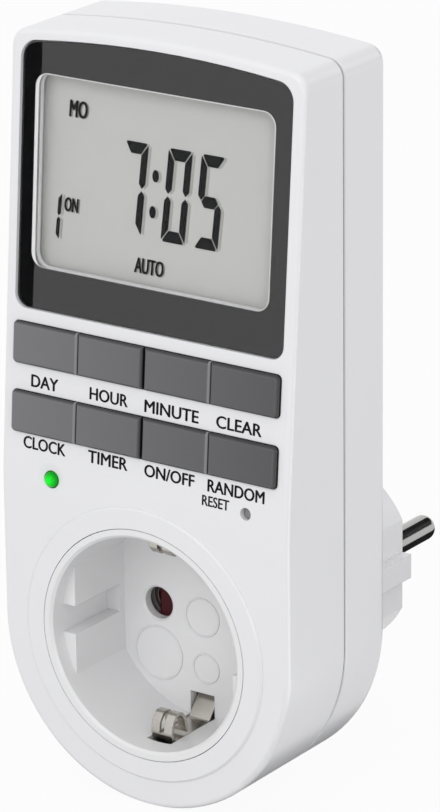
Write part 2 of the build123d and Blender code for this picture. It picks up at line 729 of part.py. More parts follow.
def switch_bodies():
    """Square bodies of the push switches, each with the bore for its plunger."""
    half = SWITCH_SIZE / 2
    bodies = []
    for x, a in switch_places():
        body = block(x - half, x + half, a - half, a + half, -BOARD_DROP, -BOARD_DROP + SWITCH_HEIGHT)
        body -= rod(x, a, -BOARD_DROP + SWITCH_FLOOR, 0, PLUNGER_R + PLUNGER_CLEARANCE)
        bodies.append(FACE * body)
    return Compound(bodies)


def plunger(x, a):
    """Round plunger of one push switch."""
    seat = SWITCH_FLOOR + KEY_TRAVEL + PLUNGER_REST_GAP
    return FACE * rod(x, a, -BOARD_DROP + seat, -BOARD_DROP + PLUNGER_TOP, PLUNGER_R)


def key_edges(x):
    """Left and right edge of a key. The gap in the middle of a row is wider than the others."""
    left = x - (KEY_PITCH - KEY_GAP) / 2
    right = x + (KEY_PITCH - KEY_GAP) / 2
    middle = KEY_MIDDLE_GAP / 2
    return (max(left, middle), right) if x > 0 else (left, min(right, -middle))


def key(x, a):
    """Grey key cap, round at a row's ends, with its retaining flanges and its stem."""
    left, right = key_edges(x)
    half_a = KEY_HEIGHT / 2
    flange_front = -WALL - KEY_REST_GAP
    flange_back = flange_front - KEY_FLANGE_THICKNESS
    cap = block(left, right, a - half_a, a + half_a, flange_back, KEY_PROUD)
    corners = [e for e in cap.edges().filter_by(Axis.Z) if abs(e.center().X) > 1.5 * KEY_PITCH]
    cap = fillet(corners, KEY_CORNER_R) if corners else cap
    cap = chamfer(cap.faces().sort_by(Axis.Z)[-1].edges(), KEY_BEVEL)
    reach = half_a + KEY_FLANGE
    cap += block(left, right, a - reach, a + reach, flange_back, flange_front)
    cap += rod(x, a, -BOARD_DROP + PLUNGER_TOP, flange_back, KEY_STEM_R)
    return FACE * cap


def reset_button():
    """Thin button sunk behind its hole, pushed with a pen tip."""
    flange_front = -WALL - KEY_REST_GAP
    flange_back = flange_front - KEY_FLANGE_THICKNESS
    button = rod(RESET_X, RESET_A, flange_back, -RESET_SUNK, RESET_PIN_R)
    button += rod(RESET_X, RESET_A, flange_back, flange_front, RESET_FLANGE_R)
    button += rod(RESET_X, RESET_A, -BOARD_DROP + PLUNGER_TOP, flange_back, RESET_PIN_R)
    return FACE * button


def led_lamp():
    """Green indicator lamp with a domed tip and a flange."""
    shoulder = LED_PROUD - LED_R
    lamp = rod(LED_X, LED_A, -LED_BODY_BOTTOM, shoulder, LED_R)
    lamp += Pos(LED_X, LED_A, shoulder) * Sphere(LED_R)
    lamp += rod(LED_X, LED_A, -LED_BODY_BOTTOM - LED_FLANGE, -LED_BODY_BOTTOM, LED_FLANGE_R)
    return FACE * lamp


def led_leads():
    """Two square leads from the lamp down to the control board."""
    half = LEAD_SIZE / 2
    top = -LED_BODY_BOTTOM - LED_FLANGE
    leads = []
    for side in (-1, 1):
        x = LED_X + side * LEAD_SPACING / 2
        leads.append(FACE * block(x - half, x + half, LED_A - half, LED_A + half, -BOARD_DROP, top))
    return Compound(leads)


def guide_region():
    """The two guide blocks on each side wall of the outlet, with the slot between them."""
    y0 = RIM_Y + GUIDE_START
    region = block(GUIDE_FLAT_X, RECESS_R + 1, y0, FLOOR_Y, -RECESS_R, RECESS_R)
    half = GUIDE_SLOT / 2
    region -= block(0, CUP_FLANGE_R, y0 - 1, FLOOR_Y - GUIDE_STEP, -half, half)
    return region + mirror(region, Plane.YZ)


def earth_cut(inner_z, outer_z, y0, y1):
    """Slots for the earth straps, top and bottom."""
    half = EARTH_SLOT_WIDTH / 2
    upper = block(-half, half, y0, y1, inner_z, outer_z)
    return upper + mirror(upper, Plane.XY)


def mould_rings():
    """Plain raised rings on the outlet floor, left blank inside."""
    rings = []
    for x, z, radius in MOULD_RINGS:
        ring = rod_y(x, z, FLOOR_Y - MOULD_RING_HEIGHT, FLOOR_Y + FLOOR_THICKNESS / 2, radius)
        ring -= rod_y(x, z, FLOOR_Y - 1, FLOOR_Y + FLOOR_THICKNESS, radius - MOULD_RING_WIDTH)
        rings.append(ring)
    return rings


def socket_cup():
    """Recessed outlet: rim, wall, guide blocks and floor in one moulding."""
    cup = rod_y(0, 0, RIM_Y, CHAMBER_Y, CUP_R)
    cup += rod_y(0, 0, FRONT_INNER_Y, FRONT_INNER_Y + CUP_FLANGE_THICKNESS, CUP_FLANGE_R)
    cup -= rod_y(0, 0, RIM_Y - 1, FLOOR_Y, RECESS_R) - guide_region()
    mouth = Pos(0, RIM_Y + CUP_RIM_CHAMFER / 2, 0) * Rot(90, 0, 0)
    cup -= mouth * Cone(RECESS_R, RECESS_R + CUP_RIM_CHAMFER, CUP_RIM_CHAMFER)
    for ring in mould_rings():
        cup += ring
    cup -= rod_y(0, 0, FLOOR_BACK_Y, CHAMBER_Y + 1, CUP_R - SKIRT_WALL)
    for x in (-PIN_X, PIN_X):
        cup -= rod_y(x, 0, FLOOR_Y - 1, FLOOR_BACK_Y + 1, PIN_HOLE_R)
        bevel = Pos(x, FLOOR_Y + PIN_HOLE_CHAMFER / 2, 0) * Rot(90, 0, 0)
        cup -= bevel * Cone(PIN_HOLE_R, PIN_HOLE_R + PIN_HOLE_CHAMFER, PIN_HOLE_CHAMFER)
    cup -= earth_cut(EARTH_SLOT_INNER_Z, CUP_FLANGE_R, FLOOR_Y - 1, CHAMBER_Y + 1)
    cup -= earth_cut(EARTH_SLOT_INNER_Z, CUP_FLANGE_R, RIM_Y + EARTH_SLOT_START, FLOOR_Y)
    for x, z in socket_screw_places():
        cup += rod_y(x, z, FLOOR_BACK_Y, CHAMBER_Y, SOCKET_BOSS_R)
        start = FLOOR_Y + SOCKET_SCREW_ROOM
        cup -= rod_y(x, z, start, CHAMBER_Y + 1, BOARD_SCREW_R + SCREW_CLEARANCE)
    return cup


def socket_screw_places():
    """Two screws, on a diagonal, that hold the contact block to the cup."""
    x = BLOCK_R - SOCKET_SCREW_INSET
    return [(x, SOCKET_SCREW_Z), (-x, -SOCKET_SCREW_Z)]


def socket_screws():
    """Screws through the contact block into the cup."""
    screws = []
    for x, z in socket_screw_places():
        screw = rod_y(x, z, FLOOR_Y + SOCKET_SCREW_ROOM + FIT, BLOCK_BACK_Y, BOARD_SCREW_R)
        screw += rod_y(x, z, BLOCK_BACK_Y, BLOCK_BACK_Y + BOARD_SCREW_HEAD, BOARD_SCREW_HEAD_R)
        screws.append(screw)
    return Compound(screws)


def shutter_edge(hole_x):
    """Edge of the slide that blocks one pin hole at rest and clears it after its travel."""
    return hole_x + PIN_HOLE_R + SHUTTER_PLAY - SHUTTER_TRAVEL


def shutter():
    """Red slide that covers both pin holes until both pins push it aside."""
    y0 = FLOOR_BACK_Y + SHUTTER_PLAY
    y1 = CHAMBER_Y - SHUTTER_PLAY
    half = PIN_HOLE_R + SHUTTER_PLAY
    left = shutter_edge(-PIN_X)
    second = shutter_edge(PIN_X)
    right = second + SHUTTER_TAIL
    plate = block(left, right, y0, y1, -half - SHUTTER_FRAME, half + SHUTTER_FRAME)
    plate -= block(second - 2 * half, second, y0 - 1, y1 + 1, -half, half)
    for x in (left, second):
        front = [e for e in plate.edges() if abs(e.center().Y - y0) < 0.01]
        ramp = [e for e in front if abs(e.center().X - x) < 0.01]
        plate = chamfer(ramp, SHUTTER_RAMP)
    return plate


def contact_block():
    """Insulating block behind the cup: it guides the slide and houses the contacts."""
    carrier = rod_y(0, 0, CHAMBER_Y, BLOCK_BACK_Y, BLOCK_R)
    for x in (-PIN_X, PIN_X):
        carrier += rod_y(x, 0, CHAMBER_Y, BLOCK_BACK_Y + SHROUD_LENGTH, SHROUD_R)
        bore = CONTACT_BORE_R + CONTACT_WALL + SEAT_GAP
        carrier -= rod_y(x, 0, CHAMBER_Y - 1, BLOCK_BACK_Y + SHROUD_LENGTH + 1, bore)
    rail_z = PIN_HOLE_R + SHUTTER_FRAME + 2 * SHUTTER_PLAY
    start = shutter_edge(-PIN_X)
    end = shutter_edge(PIN_X) + SHUTTER_TAIL
    for side in (-1, 1):
        low, high = sorted((side * rail_z, side * (rail_z + SHUTTER_RAIL)))
        carrier += block(start, end, FLOOR_BACK_Y + SHUTTER_PLAY, CHAMBER_Y, low, high)
    carrier -= earth_cut(BLOCK_SLOT_INNER_Z, CUP_FLANGE_R, CHAMBER_Y - 1, BLOCK_BACK_Y + 1)
    for x, z in socket_screw_places():
        carrier -= rod_y(x, z, CHAMBER_Y - 1, BLOCK_BACK_Y + 1, BOARD_SCREW_R + FIT)
    return carrier


def contact(x):
    """Slotted spring sleeve that grips one pin of an inserted plug."""
    y0 = CHAMBER_Y + FIT
    y1 = y0 + CONTACT_LENGTH
    sleeve = rod_y(x, 0, y0, y1, CONTACT_BORE_R + CONTACT_WALL)
    sleeve -= rod_y(x, 0, y0 - 1, y1 + 1, CONTACT_BORE_R)
    half = CONTACT_SLOT / 2
    return sleeve - block(x - half, x + half, y0 - 1, y1 + 1, -2 * CONTACT_BORE_R, 0)


def contact_back_y():
    """Rear end of the socket contacts."""
    return CHAMBER_Y + FIT + CONTACT_LENGTH


def plug_pin(x):
    """Round plug pin with a rounded tip, a collar behind the plug's end wall and a tail."""
    pin = rod_y(x, 0, 0, PIN_LENGTH, PIN_R)
    tip = pin.faces().sort_by(Axis.Y)[-1].edges()
    pin = fillet(tip, PIN_TIP_R)
    pin += rod_y(x, 0, -PIN_TAIL, 0, PIN_NECK_R)
    collar = rod_y(x, 0, -PLUG_END_WALL - PIN_COLLAR_LENGTH, -PLUG_END_WALL, PIN_COLLAR_R)
    return pin + collar


def pin_carrier():
    """Insulating plate inside the plug that backs both pins."""
    y1 = -PLUG_END_WALL
    y0 = y1 - CARRIER_DEPTH
    carrier = block(-CARRIER_HALF_X, CARRIER_HALF_X, y0, y1, -CARRIER_HALF_Z, CARRIER_HALF_Z)
    carrier = carrier & slab_y(plug_outline(PLUG_WALL + FIT), y0 - 1, y1 + 1)
    for x in (-PIN_X, PIN_X):
        carrier -= rod_y(x, 0, y0 - 1, y1 + 1, PIN_NECK_R + PIN_CLEARANCE)
        carrier -= rod_y(x, 0, y1 - PIN_COLLAR_LENGTH - SEAT_GAP, y1 + 1, PIN_COLLAR_R + PIN_CLEARANCE)
    return carrier


def strip_solid(points, width, thickness, bend_r):
    """Bent strip: a path of (y, z) points with rounded bends, given a thickness and a width."""
    path = FilletPolyline(*points, radius=bend_r) if len(points) > 2 else Polyline(*points)
    band = trace(path, thickness)
    side = Plane((-width / 2, 0, 0), x_dir=(0, 1, 0), z_dir=(1, 0, 0)).location
    return side * extrude(band, width)


def earth_strap():
    """Lower earth strap: contact hoop in the outlet, then back to the plug's side contact."""
    hoop_y0 = RIM_Y + RING_PROUD + HOOP_FRONT
    hoop_y1 = hoop_y0 + HOOP_LENGTH
    base = -STRAP_BASE_Z
    top = -HOOP_TOP_Z
    third = HOOP_LENGTH / 3
    hoop = strip_solid(
        [
            (hoop_y1 + HOOP_LIP_REACH, base + HOOP_LIP),
            (hoop_y1, base + HOOP_HEEL),
            (hoop_y1 - HOOP_LEAN, top - HOOP_SHOULDER),
            (hoop_y1 - third, top - HOOP_CROWN),
            (hoop_y0 + third, top - HOOP_CROWN),
            (hoop_y0 + HOOP_LEAN, top - HOOP_SHOULDER),
            (hoop_y0, base + HOOP_SHOULDER),
            (hoop_y0 + HOOP_FOOT, base),
            (FLOOR_Y - STRAP_BEND_FRONT, base),
            (FLOOR_BACK_Y + STRAP_BEND_BACK, -STRAP_Z),
            (-STRAP_END, -STRAP_Z),
        ],
        STRAP_WIDTH,
        STRAP_THICKNESS,
        STRAP_BEND_R,
    )
    half = STRAP_SLIT / 2
    return hoop - block(-half, half, hoop_y0 - 1, hoop_y1 + 1, base + HOOP_SHOULDER, 0)


def earth_bridge():
    """Upright strip that joins the upper and lower earth straps."""
    half_z = STRAP_Z - STRAP_THICKNESS / 2
    half_x = STRAP_WIDTH / 2
    half_y = BAR_THICKNESS / 2
    return block(-half_x, half_x, BRIDGE_Y - half_y, BRIDGE_Y + half_y, -half_z, half_z)


def bar(x, width, points):
    """Busbar bent along a path of (y, z) points at one x."""
    return Pos(x, 0, 0) * strip_solid(points, width, BAR_THICKNESS, BAR_BEND_R)


def contact_top_z():
    """Height of a busbar's middle where it lies on a socket contact."""
    return CONTACT_BORE_R + CONTACT_WALL + SEAT_GAP + BAR_THICKNESS / 2


def riser_path(y, start_z, step_z):
    """Path of a busbar that rises at y, runs forward and then lies on the power board."""
    board_y = POWER_FRONT_Y - BAR_THICKNESS / 2
    return [(y, start_z), (y, step_z), (board_y, step_z), (board_y, BAR_TOP_Z)]


def line_feed_bar():
    """Line conductor from the plug pin up to the power board."""
    tail_y = -PIN_TAIL - BAR_THICKNESS / 2
    low = -BAR_PAD_HALF_Z
    feed = bar(FEED_X, FEED_WIDTH, riser_path(tail_y, low, BAR_LOW_Z))
    x0 = FEED_X - FEED_WIDTH / 2
    x1 = -PIN_X + BAR_WIDTH / 2
    return feed + block(x0, x1, tail_y - BAR_THICKNESS / 2, -PIN_TAIL, low, BAR_PAD_HALF_Z)


def line_out_bar():
    """Switched line conductor from the power board down to the socket contact."""
    tap_y = contact_back_y() - BAR_TAP
    z = contact_top_z()
    foot = bar(-PIN_X, BAR_WIDTH, [(tap_y + BAR_TAP, z), (tap_y - BAR_TAP, z)])
    return foot + bar(-PIN_X, BAR_WIDTH, riser_path(tap_y, z, BAR_HIGH_Z))


def neutral_bar():
    """Neutral conductor: plug pin, socket contact and power board."""
    tap_y = contact_back_y() - BAR_TAP
    z = contact_top_z()
    tail_y = -PIN_TAIL - BAR_THICKNESS / 2
    link = bar(PIN_X, BAR_WIDTH, [(tail_y, -BAR_PAD_HALF_Z), (tail_y, z), (tap_y - BAR_TAP, z)])
    return link + bar(PIN_X, BAR_WIDTH, riser_path(tap_y, z, BAR_HIGH_Z))


def power_board():
    """Mains board on the rear cover's posts."""
    board = block(-POWER_HALF_X, POWER_HALF_X, POWER_FRONT_Y, POWER_BACK_Y, POWER_BOTTOM_Z, POWER_TOP_Z)
    for x, z in power_screw_places():
        board -= rod_y(x, z, POWER_FRONT_Y - 1, POWER_BACK_Y + 1, BOARD_SCREW_R + FIT)
    return board


def power_board_screws():
    """Screws through the power board into the rear cover's posts."""
    screws = []
    for x, z in power_screw_places():
        screw = rod_y(x, z, POWER_FRONT_Y, REAR_INNER_Y + WALL / 2 - FIT, BOARD_SCREW_R)
        screw += rod_y(x, z, POWER_FRONT_Y - BOARD_SCREW_HEAD, POWER_FRONT_Y, BOARD_SCREW_HEAD_R)
        screws.append(screw)
    return Compound(screws)


def boxed(x, z, size):
    """Box-shaped component standing on the power board."""
    width, height, length = size
    y0 = POWER_FRONT_Y - height
    return block(x - width / 2, x + width / 2, y0, POWER_FRONT_Y, z - length / 2, z + length / 2)


def relay():
    """Low mains relay."""
    body = boxed(RELAY_INSET - POWER_HALF_X, POWER_BOTTOM_Z + RELAY_ABOVE, RELAY)
    return fillet(body.edges().filter_by(Axis.Y), INNER_CORNER_R)


def x2_capacitor():
    """Mains dropper capacitor."""
    return boxed(POWER_HALF_X - X2_INSET, POWER_BOTTOM_Z + X2_ABOVE, X2_CAPACITOR)


def lying(x, above, radius, length, turn):
    """Cylinder lying on the power board, along Z or turned along X."""
    place = Pos(x, POWER_FRONT_Y - radius - SEAT_GAP, POWER_BOTTOM_Z + above)
    return place * Rot(0, turn, 0) * Cylinder(radius, length)


def dropper_resistor():
    """Series resistor lying across the board."""
    return lying(POWER_HALF_X - DROPPER_INSET, DROPPER_ABOVE, DROPPER_R, DROPPER_LENGTH, 90)


def varistor():
    """Disc varistor standing on its edge."""
    x = POWER_HALF_X - VARISTOR_INSET
    return lying(x, VARISTOR_ABOVE, VARISTOR_R, VARISTOR_THICKNESS, 90)


def smoothing_capacitor():
    """Electrolytic capacitor lying along the board."""
    x = SMOOTHING_INSET - POWER_HALF_X
    return lying(x, SMOOTHING_ABOVE, SMOOTHING_R, SMOOTHING_LENGTH, 0)


def rectifier_diodes():
    """Four rectifier diodes in a row."""
    places = [DIODE_X + n * DIODE_SPACING for n in range(4)]
    return Compound([lying(x, DIODE_ABOVE, DIODE_R, DIODE_LENGTH, 0) for x in places])


def backup_battery():
    """Round backup cell flat on the power board."""
    z = POWER_TOP_Z - BATTERY_BELOW
    return rod_y(BATTERY_X, z, POWER_FRONT_Y - BATTERY_HEIGHT, POWER_FRONT_Y, BATTERY_R)


def board_link():
    """Pin header between the two boards."""
    half_x = LINK_PINS * LINK_SPACING / 2
    half_z = LINK_BODY / 2
    back = POWER_FRONT_Y
    body = block(LINK_X - half_x, LINK_X + half_x, back - LINK_BODY, back, LINK_Z - half_z, LINK_Z + half_z)
    lean = (LINK_Z + LINK_PIN - BEND_Z) * math.tan(TILT)
    board_y = FRONT_Y + lean - BOARD_BACK / math.cos(TILT) + FIT
    size = LINK_PIN / 2
    for n in range(LINK_PINS):
        x = LINK_X + (n - (LINK_PINS - 1) / 2) * LINK_SPACING
        body += block(x - size, x + size, board_y, back - half_z, LINK_Z - size, LINK_Z + size)
    return body


def cover_screws():
    """Screws that close the case from behind."""
    head_y = REAR_Y - COUNTERBORE_DEPTH
    screws = []
    for x, z in case_screw_places():
        screw = rod_y(x, z, head_y - CASE_SCREW_LENGTH, head_y, CASE_SCREW_R)
        screw += rod_y(x, z, head_y, head_y + CASE_SCREW_HEAD, CASE_SCREW_HEAD_R)
        slot = Pos(x, head_y + CASE_SCREW_HEAD, z) * Box(SCREW_SLOT, CASE_SCREW_HEAD, SCREW_SLOT_WIDTH)
        cross = Pos(x, head_y + CASE_SCREW_HEAD, z) * Box(SCREW_SLOT_WIDTH, CASE_SCREW_HEAD, SCREW_SLOT)
        screws.append(screw - slot - cross)
    return Compound(screws)


KEY_NAMES = ("day", "hour", "minute", "clear", "clock", "timer", "mode", "random")


def all_parts():
    """Every node by name."""
    parts = {
        "front_cover": front_cover(),
        "rear_cover": rear_cover(),
        "display_lens": display_lens(),
        "lcd_holder": lcd_holder(),
        "lcd_front_glass": lcd_front_glass(),
        "lcd_rear_glass": lcd_rear_glass(),
        "zebra_strip": zebra_strip(),
        "lcd_cushion": lcd_cushion(),
        "control_board": control_board(),
        "control_board_screws": control_board_screws(),
        "controller_chip": controller_chip(),
        "crystal": crystal(),
        "switch_bodies": switch_bodies(),
        "reset_button": reset_button(),
        "reset_plunger": plunger(RESET_X, RESET_A),
        "led_lamp": led_lamp(),
        "led_leads": led_leads(),
        "socket_cup": socket_cup(),
        "shutter": shutter(),
        "contact_block": contact_block(),
        "socket_screws": socket_screws(),
        "line_contact": contact(-PIN_X),
        "neutral_contact": contact(PIN_X),
        "line_pin": plug_pin(-PIN_X),
        "neutral_pin": plug_pin(PIN_X),
        "pin_carrier": pin_carrier(),
        "earth_strap_lower": earth_strap(),
        "earth_strap_upper": mirror(earth_strap(), Plane.XY),
        "earth_bridge": earth_bridge(),
        "line_feed_bar": line_feed_bar(),
        "line_out_bar": line_out_bar(),
        "neutral_bar": neutral_bar(),
        "power_board": power_board(),
        "power_board_screws": power_board_screws(),
        "relay": relay(),
        "x2_capacitor": x2_capacitor(),
        "dropper_resistor": dropper_resistor(),
        "varistor": varistor(),
        "rectifier_diodes": rectifier_diodes(),
        "smoothing_capacitor": smoothing_capacitor(),
        "backup_battery": backup_battery(),
        "board_link": board_link(),
        "cover_screws": cover_screws(),
    }
    for name, (x, a) in zip(KEY_NAMES, key_places()):
        parts["key_" + name] = key(x, a)
        parts["plunger_" + name] = plunger(x, a)
    return parts


os.makedirs("parts", exist_ok=True)
for node, shape in all_parts().items():
    export_step(shape, "parts/" + node + ".step")
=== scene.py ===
"""Digital timer switch: finishes, printed marks, display, studio light and camera."""

import logging
import math
from dataclasses import dataclass, replace
from enum import Enum

import bpy
from mathutils import Matrix, Vector


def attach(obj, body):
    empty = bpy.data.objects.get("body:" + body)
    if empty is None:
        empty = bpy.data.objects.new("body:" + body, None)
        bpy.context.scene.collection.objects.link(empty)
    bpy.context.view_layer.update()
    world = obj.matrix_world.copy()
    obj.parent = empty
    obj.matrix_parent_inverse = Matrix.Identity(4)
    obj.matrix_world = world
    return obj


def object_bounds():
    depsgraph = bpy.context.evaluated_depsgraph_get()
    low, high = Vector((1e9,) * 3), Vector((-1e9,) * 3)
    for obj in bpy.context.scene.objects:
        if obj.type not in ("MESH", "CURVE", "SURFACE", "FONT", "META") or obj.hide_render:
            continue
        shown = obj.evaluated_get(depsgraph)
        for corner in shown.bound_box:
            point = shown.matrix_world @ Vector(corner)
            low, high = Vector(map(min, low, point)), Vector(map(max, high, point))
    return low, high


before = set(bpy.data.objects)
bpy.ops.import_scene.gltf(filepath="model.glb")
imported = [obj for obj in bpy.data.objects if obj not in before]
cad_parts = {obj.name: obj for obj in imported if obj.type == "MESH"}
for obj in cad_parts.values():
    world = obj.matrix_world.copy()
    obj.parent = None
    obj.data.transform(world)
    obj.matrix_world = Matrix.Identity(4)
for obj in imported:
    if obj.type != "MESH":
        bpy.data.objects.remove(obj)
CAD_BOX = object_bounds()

LOG = logging.getLogger("timer_switch")
Place = tuple[float, float]
Place3 = tuple[float, float, float]
Loop = list[Place]
Tree = bpy.types.NodeTree
Socket = bpy.types.NodeSocket
Inputs = dict[int | str, object]

# Millimetres in a metre: drawings are in millimetres, and the shared frame is in metres.
MM = 1000
# The object's own ways: to its right, to its back and up.
RIGHT = Vector((1.0, 0.0, 0.0))
BACK = Vector((0.0, 1.0, 0.0))
UP = Vector((0.0, 0.0, 1.0))
# The face leans back: the middle of its foot line, its way up and its way out.
LEAN = math.radians(4.7)
FACE_FOOT = Vector((0.0, -0.0586, 0.0265))
FACE_UP = Vector((0.0, math.sin(LEAN), math.cos(LEAN)))
FACE_OUT = Vector((0.0, -math.cos(LEAN), math.sin(LEAN)))
# Middle of the seam between the two covers, in millimetres along Y.
SEAM_MIDDLE = -40.7
# The photograph's frame in pixels, and the width in millimetres that a camera's lens is given for.
FRAME_WIDE, FRAME_TALL = 440, 812
SENSOR = 36.0

# Linear white of the surroundings and the bright card.
WHITE = (1.0, 1.0, 1.0, 1.0)
# Cosine between a face's own normal and its rounded one, where the paler edge starts and where it
# is full: partly rubbing, partly painted highlight.
PALE_EDGE_START, PALE_EDGE_FULL = 0.985, 0.8
# How strongly a grain's depth shows, and the rays that round an edge.
BUMP_STRENGTH = 0.6
BEVEL_RAYS = 4
# How often the wave texture and the brick texture repeat in one unit.
WAVES_PER_UNIT = 20 / math.tau
BRICKS_PER_UNIT = 2


def face_matrix(height: float) -> Matrix:
    """Place of a flat drawing in millimetres on the leaning face.

    Args:
        height: millimetres in front of the face.

    Returns:
        The matrix from drawing millimetres to the shared frame's metres.
    """
    turn = Matrix((RIGHT, FACE_UP, FACE_OUT)).transposed().to_4x4()
    foot = FACE_FOOT + FACE_OUT * height / MM
    return Matrix.Translation(foot) @ turn @ Matrix.Scale(1 / MM, 4)


def linear(code: str) -> tuple[float, float, float, float]:
    """Turns an sRGB hex code into a linear colour.

    Args:
        code: the colour as "#RRGGBB".

    Returns:
        Red, green, blue and an alpha of 1.
    """
    parts = [int(code[i : i + 2], 16) / 255 for i in (1, 3, 5)]
    red, green, blue = [p / 12.92 if p <= 0.04045 else ((p + 0.055) / 1.055) ** 2.4 for p in parts]
    return red, green, blue, 1.0


def per_mm(size: float) -> float:
    """Scale of a pattern that repeats once in so many millimetres."""
    return MM / size


def add(tree: Tree, kind: str, inputs: Inputs | None = None, **settings: object) -> bpy.types.Node:
    """Adds a shader node with its settings and links.

    Args:
        tree: the material's or the world's node tree.
        kind: the node's type.
        inputs: value or other node's output for each input socket.
        settings: the node's own properties.

    Returns:
        The new node.
    """
    node = tree.nodes.new(kind)
    for name, value in settings.items():
        setattr(node, name, value)
    for socket, value in (inputs or {}).items():
        if isinstance(value, bpy.types.NodeSocket):
            tree.links.new(value, node.inputs[socket])
        else:
            node.inputs[socket].default_value = value
    return node


def blank_material(name: str) -> bpy.types.Material:
    """Makes a material with an empty node tree.

    Args:
        name: the material's name.

    Returns:
        The material.
    """
    material = bpy.data.materials.new(name)
    material.use_nodes = True
    material.node_tree.nodes.clear()
    return material


@dataclass(frozen=True)
class Finish:
    """A finish with two colours that drift into each other and a fine grain.

    Sizes are in millimetres. rough holds the lowest and the highest roughness, and edge is the radius
    that corners seem to have. The corners show a share of a paler edge colour, partly rubbing and
    partly painted highlight.
    """

    name: str
    colour: str
    drift: str
    rough: tuple[float, float] = (0.38, 0.5)
    cloud: float = 9.0
    grain: float = 0.35
    depth: float = 0.01
    edge: float = 0.2
    rub_and_highlight: str = "#FFFFFF"
    wear: float = 0.0
    metallic: float = 0.0
    ior: float = 1.5
    stretch: Place3 = (1.0, 1.0, 1.0)
    mirror: float = 0.5

    def make(self) -> bpy.types.Material:
        """Makes the material.

        Returns:
            The material, with the finish's shader on its output.
        """
        material = blank_material(self.name)
        tree = material.node_tree
        place = add(tree, "ShaderNodeTexCoord").outputs["Object"]
        add(tree, "ShaderNodeOutputMaterial", {"Surface": self.shade(tree, place)})
        return material

    def tint(self, tree: Tree, place: Socket) -> Socket:
        """Colour that drifts slowly over the piece.

        Args:
            tree: the material's node tree.
            place: object coordinates.

        Returns:
            The colour's output.
        """
        at = {"Vector": place, "Scale": per_mm(self.cloud), "Detail": 3.0}
        cloud = add(tree, "ShaderNodeTexNoise", at).outputs[0]
        ends = {0: cloud, 6: linear(self.colour), 7: linear(self.drift)}
        return add(tree, "ShaderNodeMix", ends, data_type="RGBA").outputs[2]

    def lines(self, tree: Tree, place: Socket) -> Socket:
        """Grain of the surface, drawn out along one way where the tool ran.

        Args:
            tree: the material's node tree.
            place: object coordinates.

        Returns:
            The grain's height, from 0 to 1.
        """
        drawn = add(tree, "ShaderNodeMapping", {"Vector": place, "Scale": self.stretch})
        at = {"Vector": drawn.outputs[0], "Scale": per_mm(self.grain), "Detail": 2.0}
        return add(tree, "ShaderNodeTexNoise", at).outputs[0]

    def gloss(self, tree: Tree, grain: Socket) -> Socket:
        """Roughness that follows the grain.

        Args:
            tree: the material's node tree.
            grain: the grain's height.

        Returns:
            The roughness's output.
        """
        low, high = self.rough
        ends = {"Value": grain, "To Min": low, "To Max": high}
        return add(tree, "ShaderNodeMapRange", ends).outputs[0]

    def shade(self, tree: Tree, place: Socket) -> Socket:
        """Builds the finish.

        Args:
            tree: the material's node tree.
            place: object coordinates.

        Returns:
            The shader's output.
        """
        grain = self.lines(tree, place)
        soft = add(tree, "ShaderNodeBevel", {"Radius": self.edge / MM}, samples=BEVEL_RAYS).outputs[0]
        plain = add(tree, "ShaderNodeNewGeometry").outputs["Normal"]
        turn = add(tree, "ShaderNodeVectorMath", {0: soft, 1: plain}, operation="DOT_PRODUCT")
        # Paler edges where the rounded normal turns from the face's own: partly rubbing, partly painted
        # highlight.
        reach = {
            "Value": turn.outputs["Value"],
            "From Min": PALE_EDGE_START,
            "From Max": PALE_EDGE_FULL,
            "To Max": self.wear,
        }
        rub_and_highlight = add(tree, "ShaderNodeMapRange", reach).outputs[0]
        coat = {0: rub_and_highlight, 6: self.tint(tree, place), 7: linear(self.rub_and_highlight)}
        relief = {"Height": grain, "Strength": BUMP_STRENGTH, "Distance": self.depth / MM, "Normal": soft}
        body = {
            "Base Color": add(tree, "ShaderNodeMix", coat, data_type="RGBA").outputs[2],
            "Roughness": self.gloss(tree, grain),
            "Normal": add(tree, "ShaderNodeBump", relief).outputs[0],
            "IOR": self.ior,
            "Metallic": self.metallic,
            "Specular IOR Level": self.mirror,
        }
        return add(tree, "ShaderNodeBsdfPrincipled", body).outputs[0]


@dataclass(frozen=True)
class Metal(Finish):
    """Bare or plated metal with fine drawing lines."""

    rough: tuple[float, float] = (0.16, 0.32)
    grain: float = 0.25
    depth: float = 0.003
    edge: float = 0.15
    metallic: float = 1.0


@dataclass(frozen=True)
class Striped(Finish):
    """A finish with stripes of its second colour across one axis.

    pitch is the distance from stripe to stripe, and blur how soft their edges are.
    """

    axis: str = "X"
    pitch: float = 0.5
    blur: float = 0.05

    def tint(self, tree: Tree, place: Socket) -> Socket:
        """Even stripes, one every pitch.

        Args:
            tree: the material's node tree.
            place: object coordinates.

        Returns:
            The colour's output.
        """
        at = {"Vector": place, "Scale": per_mm(self.pitch * WAVES_PER_UNIT)}
        stripes = add(tree, "ShaderNodeTexWave", at, wave_type="BANDS", bands_direction=self.axis)
        steps = {"Value": stripes.outputs[1], "From Min": 0.5 - self.blur, "From Max": 0.5 + self.blur}
        share = add(tree, "ShaderNodeMapRange", steps).outputs[0]
        ends = {0: share, 6: linear(self.colour), 7: linear(self.drift)}
        return add(tree, "ShaderNodeMix", ends, data_type="RGBA").outputs[2]


@dataclass(frozen=True)
class Laminate(Finish):
    """Circuit board: solder mask over copper tracks.

    track is the distance between tracks, and line their share of it.
    """

    track: float = 2.4
    line: float = 0.09

    def tint(self, tree: Tree, place: Socket) -> Socket:
        """Green mask, paler over the tracks.

        Args:
            tree: the material's node tree.
            place: object coordinates.

        Returns:
            The colour's output.
        """
        flat = add(tree, "ShaderNodeMapping", {"Vector": place, "Rotation": (math.radians(90), 0.0, 0.0)})
        look = {
            "Vector": flat.outputs[0],
            "Color1": linear(self.colour),
            "Color2": linear(self.colour),
            "Mortar": linear(self.drift),
            "Scale": per_mm(self.track * BRICKS_PER_UNIT),
            "Mortar Size": self.line,
        }
        return add(tree, "ShaderNodeTexBrick", look).outputs[0]


